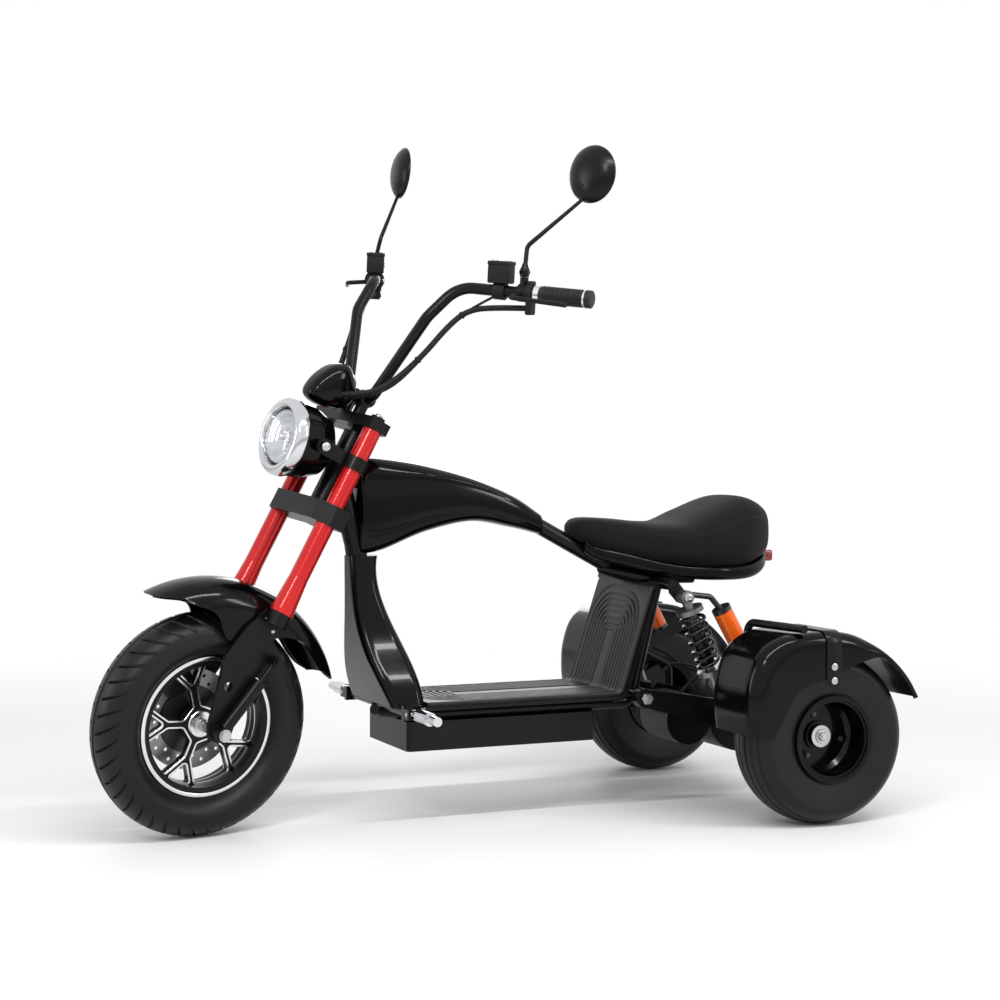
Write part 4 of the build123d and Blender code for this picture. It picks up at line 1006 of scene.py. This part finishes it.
tankShell = {
    "rows": [  # x, bottom, top, half width
        (838, 530, 719.8, 34), (790, 538.3, 718.3, 52), (700, 572.7, 704.7, 58), (600, 591.5, 678.5, 50),
        (510, 578, 642, 38), (445, 562.5, 602.3, 24),
    ],
    "sections": 130, "around": 120, "boxy": 0.62, "endShare": 0.012, "endSize": 0.93,
    "recess": 4.0, "ridge": (0.5, 0.72), "recessStart": (0.03, 0.09), "recessEnd": (0.6, 0.9),
}


def shellGrid(t):
    # superellipse sections along the spine, the sides sunk between an upper and a lower ridge
    x, low, high, half = np.split(smoothTable(t["rows"], t["sections"]), 4, axis=1)
    wide, tall = superellipse(t["around"], t["boxy"])
    size = t["endSize"] + (1 - t["endSize"]) * endShrink(t["sections"], t["endShare"])
    share = np.linspace(0, 1, t["sections"])[:, None]
    sunk = 1 - smoothStep(np.abs(tall), *t["ridge"])
    sunk = sunk * smoothStep(share, *t["recessStart"]) * (1 - smoothStep(share, *t["recessEnd"]))
    y = (half - t["recess"] * sunk) * wide * size
    return np.stack([x + 0 * wide, y, (low + high) / 2 + (high - low) / 2 * tall * size], -1)


makePiece("tankShell", [placed(surface(shellGrid(tankShell), closeCols=True, capRows=True), onChassis)], "chassis",
          "glossBlack", ["body_shell"], crease=50.0)
print("seat and shell made")

mat = {
    "line": [(734.0, 243.3), (315.1, 243.3), (244.5, 456.0)], "bend": 16.2, "half": 122.0, "thick": 8.0,
    "rows": 300, "columns": 170, "inset": 20.0, "corner": 70.0, "pitch": 13.0, "rings": 6.6, "ringEnd": 3.0,
    "gutterEnd": 13.0, "gutter": 0.45, "field": 0.35, "rib": 2.5, "edge": 3.0, "edgeDrop": 0.45,
}


def ribbedMat(m):
    # a sheet along the floor and up the riser; its top is lowered between nested rounded ribs, which follow the
    # distance to a rounded rectangle on the unrolled mat, and falls off towards both side edges
    path = resampled(roundedPath(m["line"], m["bend"], steps=16), m["rows"])
    tangent = unit(np.gradient(path, axis=0))
    normal = np.stack([tangent[:, 1], -tangent[:, 0]], -1)
    run = runLength(path)[:, None]
    y = np.linspace(-m["half"], m["half"], m["columns"])[None]
    across = np.abs(y) - (m["half"] - m["inset"] - m["corner"])
    length = np.abs(run - run[-1] / 2) - (run[-1] / 2 - m["inset"] - m["corner"])
    away = np.hypot(np.maximum(across, 0), np.maximum(length, 0)) + np.minimum(np.maximum(across, length), 0)
    away = away - m["corner"]
    rib = smoothStep(np.cos(2 * math.pi * away / m["pitch"]), -0.35, 0.35)
    rib = np.where(away > -m["pitch"] * m["rings"], rib, m["field"])
    rib = np.where(away < m["ringEnd"], rib, np.where(away < m["gutterEnd"], m["gutter"], 1.0))
    soft = np.minimum(smoothStep(m["half"] + y, 0, m["edge"]), smoothStep(m["half"] - y, 0, m["edge"]))
    base = -m["thick"] / 2
    top = base + (m["thick"] - m["rib"] * (1 - rib)) * (1 - m["edgeDrop"] * (1 - soft))
    under = np.linspace(m["half"], -m["half"], 9)[None]
    y = np.concatenate([y, under], 1) + 0 * run
    high = np.concatenate([top, base + 0 * (run + under)], 1)
    x, z = (path[:, k : k + 1] + normal[:, k : k + 1] * high for k in (0, 1))
    return surface(np.stack([x, y, z], -1), closeCols=True, capRows=True)


makePiece("ribbedMat", [placed(ribbedMat(mat), onChassis)], "chassis", "matRubber", ["floor_mat"])
print("mat made")

grip = {
    "shoulder": (716, 152, 1064), "end": (574.4, 384.5, 1056), "length": 114.5, "cap": 3.0, "radius": 17.0,
    "bore": 11.4, "ringPitch": 4.6, "ringDepth": 1.1, "ringsFrom": (22, 24), "ringsTo": (20, 18),
    "waistAt": 12, "waist": 0.9, "endRound": 2.6, "bands": ((2.5, 14.0), (101.5, 106.0)), "bandRadii": (16.2, 17.5),
}
barEnd = np.array(grip["end"])
barOut = unit(barEnd - grip["shoulder"])
gripStart = barEnd - barOut * grip["length"]


def ribbedGrip(g):
    # sleeve with raised rings between two plain stretches, a low waist at its inner end and a rounded end cap
    length = g["length"] + g["cap"]
    at = np.linspace(0, 1, 220) * length
    rings = smoothStep(np.cos(2 * math.pi * at / g["ringPitch"]), -0.3, 0.3)
    zone = smoothStep(at, *g["ringsFrom"]) * (1 - smoothStep(at, *(length - k for k in g["ringsTo"])))
    radius = g["radius"] - g["ringDepth"] * zone * (1 - rings)
    radius = radius - g["waist"] * (1 - smoothStep(np.abs(at - g["waistAt"]), 5, 7))
    radius = radius - g["endRound"] * smoothStep(at, length - 2.5, length) ** 2
    inside = [(0.0, length), (0.0, length - 2.6), (g["bore"], length - 2.6), (g["bore"], 0.0)]
    return lathe(np.vstack([np.stack([radius, at], -1), inside]))


leftGrip = turnAlong(ribbedGrip(grip), gripStart, barOut)
makePiece("ribbedGrips", bothSides([leftGrip], onSteering), "steering", "gripRubber", ["grips"])
under, over = grip["bandRadii"]
bands = [[(under, a), (over, a + 0.6), (over, b - 0.6), (under, b)] for a, b in grip["bands"]]
bands = [turnAlong(lathe(band, 40), gripStart, barOut) for band in bands]

loom = {
    "points": [(638, 279, 1032), (676, 226, 1030), (716, 188, 1022), (746, 166, 988), (780, 140, 932),
               (818, 108, 882), (858, 78, 850), (892, 28, 846)],
    "radius": 5.6, "ring": 0.45, "pitch": 3.4, "steps": 560,
    "tieAt": (0.3, 0.62), "tie": [(5.4, -2.2), (7.2, -2.2), (7.2, 2.2), (5.4, 2.2)],
}
brakeHose = {
    "points": [(650, 262, 1072), (668, 236, 1060), (690, 210, 1042), (722, 176, 1012), (752, 152, 970),
               (784, 126, 914), (816, 96, 868), (846, 62, 846), (872, 30, 838)],
    "radius": 2.6, "steps": 140,
}
loomLine = routeLine(loom["points"])
loomPath = resampled(loomLine, loom["steps"])
wrapped = loom["radius"] + loom["ring"] * np.cos(2 * math.pi * runLength(loomPath) / loom["pitch"])
makePiece("ribbedLooms", bothSides([tube(loomPath, wrapped, 12)], onSteering), "steering",
          "hoseBlack", ["wiring"])
hoseLine = resampled(routeLine(brakeHose["points"]), brakeHose["steps"])
makePiece("brakeHoses", bothSides([tube(hoseLine, brakeHose["radius"], 10)], onSteering), "steering",
          "hoseBlack")
tied = [int(share * (len(loomLine) - 1)) for share in loom["tieAt"]]
ties = [turnAlong(lathe(loom["tie"], 20), loomLine[k], loomLine[k + 1] - loomLine[k - 1]) for k in tied]
makePiece("loomTies", bothSides(ties, onSteering), "steering", "matteBlack")
makePiece("gripBands", bothSides(bands, onSteering), "steering", "cutAlloy")

barTurn = math.atan2(barOut[1], barOut[0])
toRider = np.array([-barOut[1], barOut[0], 0.0])
clampBore = 11.5


def onBar(distance):
    # a place on the bar's axis, measured inboard of the grip
    return gripStart - barOut * distance


def ringOnBar(near, far, radius, soften=1.5):
    # sleeve with softened edges, from one distance inboard of the grip to another
    profile = [(clampBore, near), (radius - soften, near), (radius, near + soften), (radius, far - soften),
               (radius - soften, far), (clampBore, far)]
    return turnAlong(lathe(profile, 40), gripStart, -barOut)


def boxesAt(place, boxes):
    # rounded boxes of (size, edge, height over the place), turned with the bar
    return [setAt(roundedBox(size, edge), place + (0, 0, height), barTurn) for size, edge, height in boxes]


mirror = {
    "middle": (548.0, 333.0, 1288.0), "facing": (-0.95, -0.24, -0.08), "bossAt": 22.0,
    "head": [(0, -20), (14, -19.7), (26, -18.2), (36, -15.2), (44, -11.2), (50, -6.8), (53.6, -3.2), (54.5, -0.8),
             (54.3, 0.2), (52, 0.6), (50.2, 0), (50.2, -2.2), (0, -2.2)],
    "stemFromBoss": ((0, 0, 44), (-7, -6, 88)), "stemFromHead": ((14, -9, -48), (11, -3, -14)), "bend": 18.0,
    "stemSize": 4.4, "stemTaper": 0.9, "stemSteps": 90, "nut": {"height": 36, "radius": 10.5, "thick": 7.0},
    "boss": [(0, 30.3), (7.5, 30.3), (9, 32), (9, 45), (7, 48), (5, 56), (0, 56)],
    "neck": [(0, -5), (5, -4), (8, 0), (7, 5), (4, 9), (0, 10)], "neckAt": (13, -4, -22),
    "neckFacing": (0.9, 0.2, 0.4),
}
upwards = (0, 0, 1)
bossAt, mirrorAt = onBar(mirror["bossAt"]), np.array(mirror["middle"])
stemPoints = [bossAt + p for p in mirror["stemFromBoss"]] + [mirrorAt + p for p in mirror["stemFromHead"]]
stemLine = resampled(roundedPath(stemPoints, mirror["bend"], steps=9), mirror["stemSteps"])
stemSize = mirror["stemSize"] - mirror["stemTaper"] * smoothStep(np.linspace(0, 1, mirror["stemSteps"]), 0.2, 0.9)
mirrorShapes = [
    turnAlong(lathe(mirror["head"], 72), mirrorAt, mirror["facing"]),
    tube(stemLine, stemSize, 14, up=(0, 1, 0)),
    turnAlong(lathe(mirror["boss"], 24), bossAt, upwards),
    hexNut(bossAt + (0, 0, mirror["nut"]["height"]), upwards, mirror["nut"]["radius"], mirror["nut"]["thick"]),
    turnAlong(lathe(mirror["neck"], 24), mirrorAt + mirror["neckAt"], mirror["neckFacing"]),
]
makePiece("mirrorHeads", bothSides(mirrorShapes, onSteering), "steering", "satinBlack", ["mirrors"])

brakeTank = {
    "at": 70.0, "height": 35, "clamp": (58, 82, 17), "lidScrews": (14, 10, 21.4), "clampScrewOut": 17,
    "boxes": [((44, 36, 36), 3.0, -3.0), ((46, 38, 7.6), 2.0, 17.2), ((36, 28, 2.0), 0.8, 20.4),
              ((12, 20, 12), 2.0, -24)],
    "window": [(0, 0), (5.6, 0), (5.6, 1.2), (4.6, 1.6), (0, 1.6)], "windowAt": (17.9, -4),
}
tankAt = onBar(brakeTank["at"]) + (0, 0, brakeTank["height"])
tankShapes = boxesAt(tankAt, brakeTank["boxes"]) + [ringOnBar(*brakeTank["clamp"])]
makePiece("brakeTanks", bothSides(tankShapes, onSteering), "steering", "matteBlack",
          ["brake_reservoirs"])

pod = {
    "near": 1.0, "far": 12.7, "radius": 21, "boxes": [((11.6, 27, 30), 3.0, -25), ((11.6, 20, 14), 3.0, 17)],
    "button": [(0, 0), (4.2, 0), (4.2, 1.6), (3.4, 2.6), (0, 2.9)], "buttonOut": 13.3, "buttonHeights": (-18, -31),
}
podAt = onBar((pod["near"] + pod["far"]) / 2)
podShapes = [ringOnBar(pod["near"], pod["far"], pod["radius"])] + boxesAt(podAt, pod["boxes"])
makePiece("switchHousings", bothSides(podShapes, onSteering), "steering", "matteBlack",
          ["switch_pods"])

along, aside, lidTop = brakeTank["lidScrews"]
corners = [(along, aside), (-along, aside), (along, -aside), (-along, -aside)]
screws = [bolt(tankAt + barOut * x + toRider * y + (0, 0, lidTop), upwards, 2.6, 1.4, 12) for x, y in corners]
for place, radius in ((onBar(brakeTank["at"]), 3.2), (bossAt, 3.6)):
    screws.append(bolt(place + toRider * brakeTank["clampScrewOut"], toRider, radius, 3.0, 12))
windowOut, windowHeight = brakeTank["windowAt"]
windowAt = tankAt + toRider * windowOut + (0, 0, windowHeight)
screws.append(turnAlong(lathe(brakeTank["window"], 24), windowAt, toRider))
makePiece("controlScrews", bothSides(screws, onSteering), "steering", "wornSteel")
buttonPlaces = [podAt + toRider * pod["buttonOut"] + (0, 0, height) for height in pod["buttonHeights"]]
buttons = [turnAlong(lathe(pod["button"], 20), place, toRider) for place in buttonPlaces]
makePiece("switchButtons", bothSides(buttons, onSteering), "steering", "tailRed")
print("controls dressed")

lamp = {
    "middle": (957.5, 0.0, 753.0), "tilt": math.radians(13.5),
    "glass": [(54.8, 44.0), (51.0, 50.0), (42.0, 55.2), (28.0, 58.6), (12.0, 60.0), (0.0, 60.2), (0.0, 58.2),
              (12.0, 58.0), (28.0, 56.6), (42.0, 53.4), (50.0, 48.6), (52.6, 44.0)],
    "dish": {"radii": (52.0, 11.0), "steps": 26, "back": 32.4, "depth": 12.0, "flute": 0.35, "fluteTurn": 1.6,
             "rim": [(11.0, 31.2), (52.4, 31.2), (55.0, 43.2)]},
    "bulb": [(0.0, 31.4), (10.6, 31.4), (10.6, 35.5), (7.6, 37.0), (7.0, 46.0), (4.6, 49.6), (0.0, 51.0)],
    "bezel": [(57, 31), (72, 30.6), (76.2, 33), (76.6, 41), (74.4, 49), (69.5, 54.2), (63, 56), (58.4, 53.4),
              (56.2, 47), (56, 38)],
}


def inLamp(points):
    # drawn along y, open end towards +y, turned to look forward and a little up
    p = np.asarray(points, float)
    forward, side, up = p[..., 1], -p[..., 0], p[..., 2]
    c, s = math.cos(lamp["tilt"]), math.sin(lamp["tilt"])
    return onSteering(np.stack([forward * c - up * s, side, forward * s + up * c], -1) + lamp["middle"])


def reflectorDish(d):
    # profile of a parabola with fine flutes in it, closed by a flat back and rim
    r = np.linspace(*d["radii"], d["steps"])
    y = d["back"] + d["depth"] * (r / d["radii"][0]) ** 2 + d["flute"] * np.cos(r * d["fluteTurn"])
    return np.vstack([np.stack([r, y], -1), d["rim"]])


makePiece("lampGlass", [placed(lathe(lamp["glass"], 96), inLamp)], "steering", "lensGlass",
          ["headlight_lens"])
makePiece("lampReflector", [placed(lathe(reflectorDish(lamp["dish"]), 96), inLamp)], "steering",
          "brightChrome")
makePiece("lampBulb", [placed(lathe(lamp["bulb"], 40, closed=False), inLamp)], "steering",
          "cutAlloy")
bezelProfile = smoothTable(lamp["bezel"], 60, closed=True)
makePiece("lampBezel", [placed(lathe(bezelProfile, 120), inLamp)], "steering", "brightChrome",
          ["headlight_bezel"], crease=70.0)

panel = {
    "outline": [(-202, 632), (-219, 660), (-250, 682), (-276, 687), (-294, 678), (-306, 635), (-290, 606),
                (-258, 600), (-220, 611)],  # x, z from the front axle
    "half": 33.0, "power": 3.0, "screen": (-298.5, 0.0, 654.0), "facing": (-0.963, 0.0, 0.269),
    "post": [(0, 0), (8, 0), (8, 26), (0, 26)], "postAt": (22.0, 0.0, 662.7),  # from the front axle, along the fork
    "ring": [(16.5, -1), (20.5, -1), (20.5, 2.4), (19, 3.6), (17, 3.0)],
    "glass": [(0, -1), (17, -1), (17, 1.6), (10, 2.2), (0, 2.4)],
}


def pillow(p):
    # the side outline shrunk towards its middle as a superellipse across the width
    ring = smoothTable(p["outline"], 96, closed=True)
    middle = (ring.max(0) + ring.min(0)) / 2
    v = np.sin(np.linspace(-math.pi / 2, math.pi / 2, 41))[:, None]
    share = np.clip(1 - np.abs(v) ** p["power"], 0, 1) ** (1 / p["power"])
    flat = middle + (ring - middle) * share[..., None]
    return surface(np.stack([flat[..., 0], p["half"] * v + 0 * flat[..., 0], flat[..., 1]], -1), closeCols=True)


post = turnAlong(lathe(panel["post"], 28), panel["postAt"], upwards)
makePiece("displayPod", [placed(pillow(panel), onFrontWheel), placed(post, onFork)], "steering",
          "glossBlack", ["display"])
for name, part, slotName, finish in (("displayRing", "ring", "chrome_bright", "cutAlloy"),
                                     ("displayGlass", "glass", "gloss_black", "darkScreen")):
    shape = turnAlong(lathe(panel[part], 48), panel["screen"], panel["facing"])
    makePiece(name, [placed(shape, onFrontWheel)], "steering", finish)

tail = {"size": (23.6, 69.6, 23.6), "edge": 4.0, "middle": (-78.3, 0, 508)}
tailShape = setAt(roundedBox(tail["size"], tail["edge"]), tail["middle"])
makePiece("tailLamp", [placed(tailShape, onChassis)], "chassis", "tailRed", ["tail_light"])
print("lamp made")

chassisHeads = [  # place, radius, height, all facing left
    ((20.0, 443.3, 318.0), 7.0, 1.9), ((20.0, 443.3, 291.0), 7.0, 1.9), ((198, 184.4, 438), 9.5, 7.0),
    ((110, 184.4, 216), 9.5, 7.0), ((0, 158.2, 203), 5.0, 4.0), ((0, 158.2, 141), 5.0, 4.0),
]
forkHeads = [  # place on the fork, facing, radius, height
    ((76.4, 90.5, 566.5), outwards, 9.0, 6.0), ((6.2, 97.0, 447.0), (1, 0, 0), 4.5, 4.0),
    ((6.2, 97.0, 467.0), (1, 0, 0), 4.5, 4.0), ((0, 89.0, 669.2), upwards, 8.0, 5.0),
    ((14.0, 75.2, 230.0), outwards, 4.0, 3.0), ((-10.0, 75.2, 214.0), outwards, 4.0, 3.0),
]
chassisBolts = [bolt(place, outwards, radius, height) for place, radius, height in chassisHeads]
chassisBolts.append(hexNut((280, 162.2, 236), outwards, 12.0, 9.0))
makePiece("chassisBolts", bothSides(chassisBolts, onChassis), "chassis", "wornSteel")
makePiece("steeringBolts", bothSides([bolt(*head) for head in forkHeads], onFork), "steering", "wornSteel")
print("bolts set")

room = {"world": 0.62, "size": 60.0, "near": 1.3, "far": 3.2, "middle": (0.15, 0.0)}
plane = bpy.data.meshes.new("floor")
farX, farY = np.array([(-1, -1), (1, -1), (1, 1), (-1, 1)]).T * room["size"]
plane.from_pydata(np.stack([farX, farY, 0 * farX], -1).tolist(), [], [(0, 1, 2, 3)])
floorPiece = bpy.data.objects.new("floor", plane)
bpy.context.scene.collection.objects.link(floorPiece)


def floorMaterial():
    # pale floor that takes the shadow near the object and runs out into the white background further off
    f = Finish("paleFloor")
    speckle = f.noise(30.0, 3.0)
    f.set(colour=f.blend(speckle, (0.87, 0.87, 0.87), (0.89, 0.89, 0.89)), roughness=0.6, specular=0.1)
    x, y, _ = f.coordinates()
    dx, dy = x - room["middle"][0], y - room["middle"][1]
    away = (dx * dx + dy * dy).root().between(room["near"], room["far"])
    away = away * away * (3 - 2 * away)
    white = f.make("ShaderNodeEmission", {}, {"Color": (1, 1, 1, 1), "Strength": 1.0})
    toCamera = f.make("ShaderNodeLightPath", output="Is Camera Ray") * away
    mixed = f.make("ShaderNodeMixShader", {}, {0: toCamera, 1: Knob(f.tree, f.shader.outputs[0]), 2: white})
    f.tree.links.new(mixed.socket, f.tree.nodes["Material Output"].inputs[0])
    return f.material


plane.materials.append(floorMaterial())

world = bpy.data.worlds.new("studio")
bpy.context.scene.world = world
world.use_nodes = True
sky = world.node_tree
sky.nodes.clear()
white = (1, 1, 1, 1)
lit = addNode(sky, "ShaderNodeBackground", {}, {"Color": white, "Strength": room["world"]})
seen = addNode(sky, "ShaderNodeBackground", {}, {"Color": white, "Strength": 1.0})
rayKinds = [f"Is {kind} Ray" for kind in ("Camera", "Glossy", "Transmission")]
camera, glossy, through = (addNode(sky, "ShaderNodeLightPath", output=kind) for kind in rayKinds)
shown = addNode(sky, "ShaderNodeMixShader", {}, {0: (camera + glossy + through).held(), 1: lit, 2: seen})
addNode(sky, "ShaderNodeOutputWorld", {}, {0: shown})

lampsLookAt = (0, 0, 0.45)
lamps = {
    "key": {"place": (2.4, 2.6, 2.7), "size": (0.6, 0.6), "power": 30.0},
    "fill": {"place": (-2.6, 2.9, 1.8), "size": (0.35, 1.6), "power": 26.0},
    "overhead": {"place": (0.0, 1.9, 2.7), "size": (3.0, 0.16), "power": 54.0},
    "side": {"place": (3.4, -0.6, 1.2), "size": (0.5, 1.6), "power": 16.0},
    "back": {"place": (-1.2, -3.0, 1.6), "size": (1.2, 1.0), "power": 18.0},
}
for name, look in lamps.items():
    light = bpy.data.lights.new(name, "AREA")
    light.shape = "RECTANGLE"
    light.size, light.size_y = look["size"]
    light.energy = look["power"]
    holder = bpy.data.objects.new(name, light)
    holder.location = look["place"]
    holder.rotation_euler = (Vector(lampsLookAt) - holder.location).to_track_quat("-Z", "Y").to_euler()
    bpy.context.scene.collection.objects.link(holder)

shot = {"place": (1.54953, 3.70452, 0.76449), "look": (-0.3991, -0.9164, -0.0326), "lens": 72.02, "sensor": 36.0}
photoCamera = bpy.data.cameras.new("photo")
photoCamera.lens = shot["lens"]
photoCamera.sensor_width = shot["sensor"]
photoCamera.sensor_fit = "HORIZONTAL"
cameraHolder = bpy.data.objects.new("photo", photoCamera)
cameraHolder.location = shot["place"]
cameraHolder.rotation_euler = Vector(shot["look"]).to_track_quat("-Z", "Y").to_euler()
bpy.context.scene.collection.objects.link(cameraHolder)
bpy.context.scene.camera = cameraHolder
bpy.context.scene.view_settings.view_transform = "Standard"
print("room and camera set")
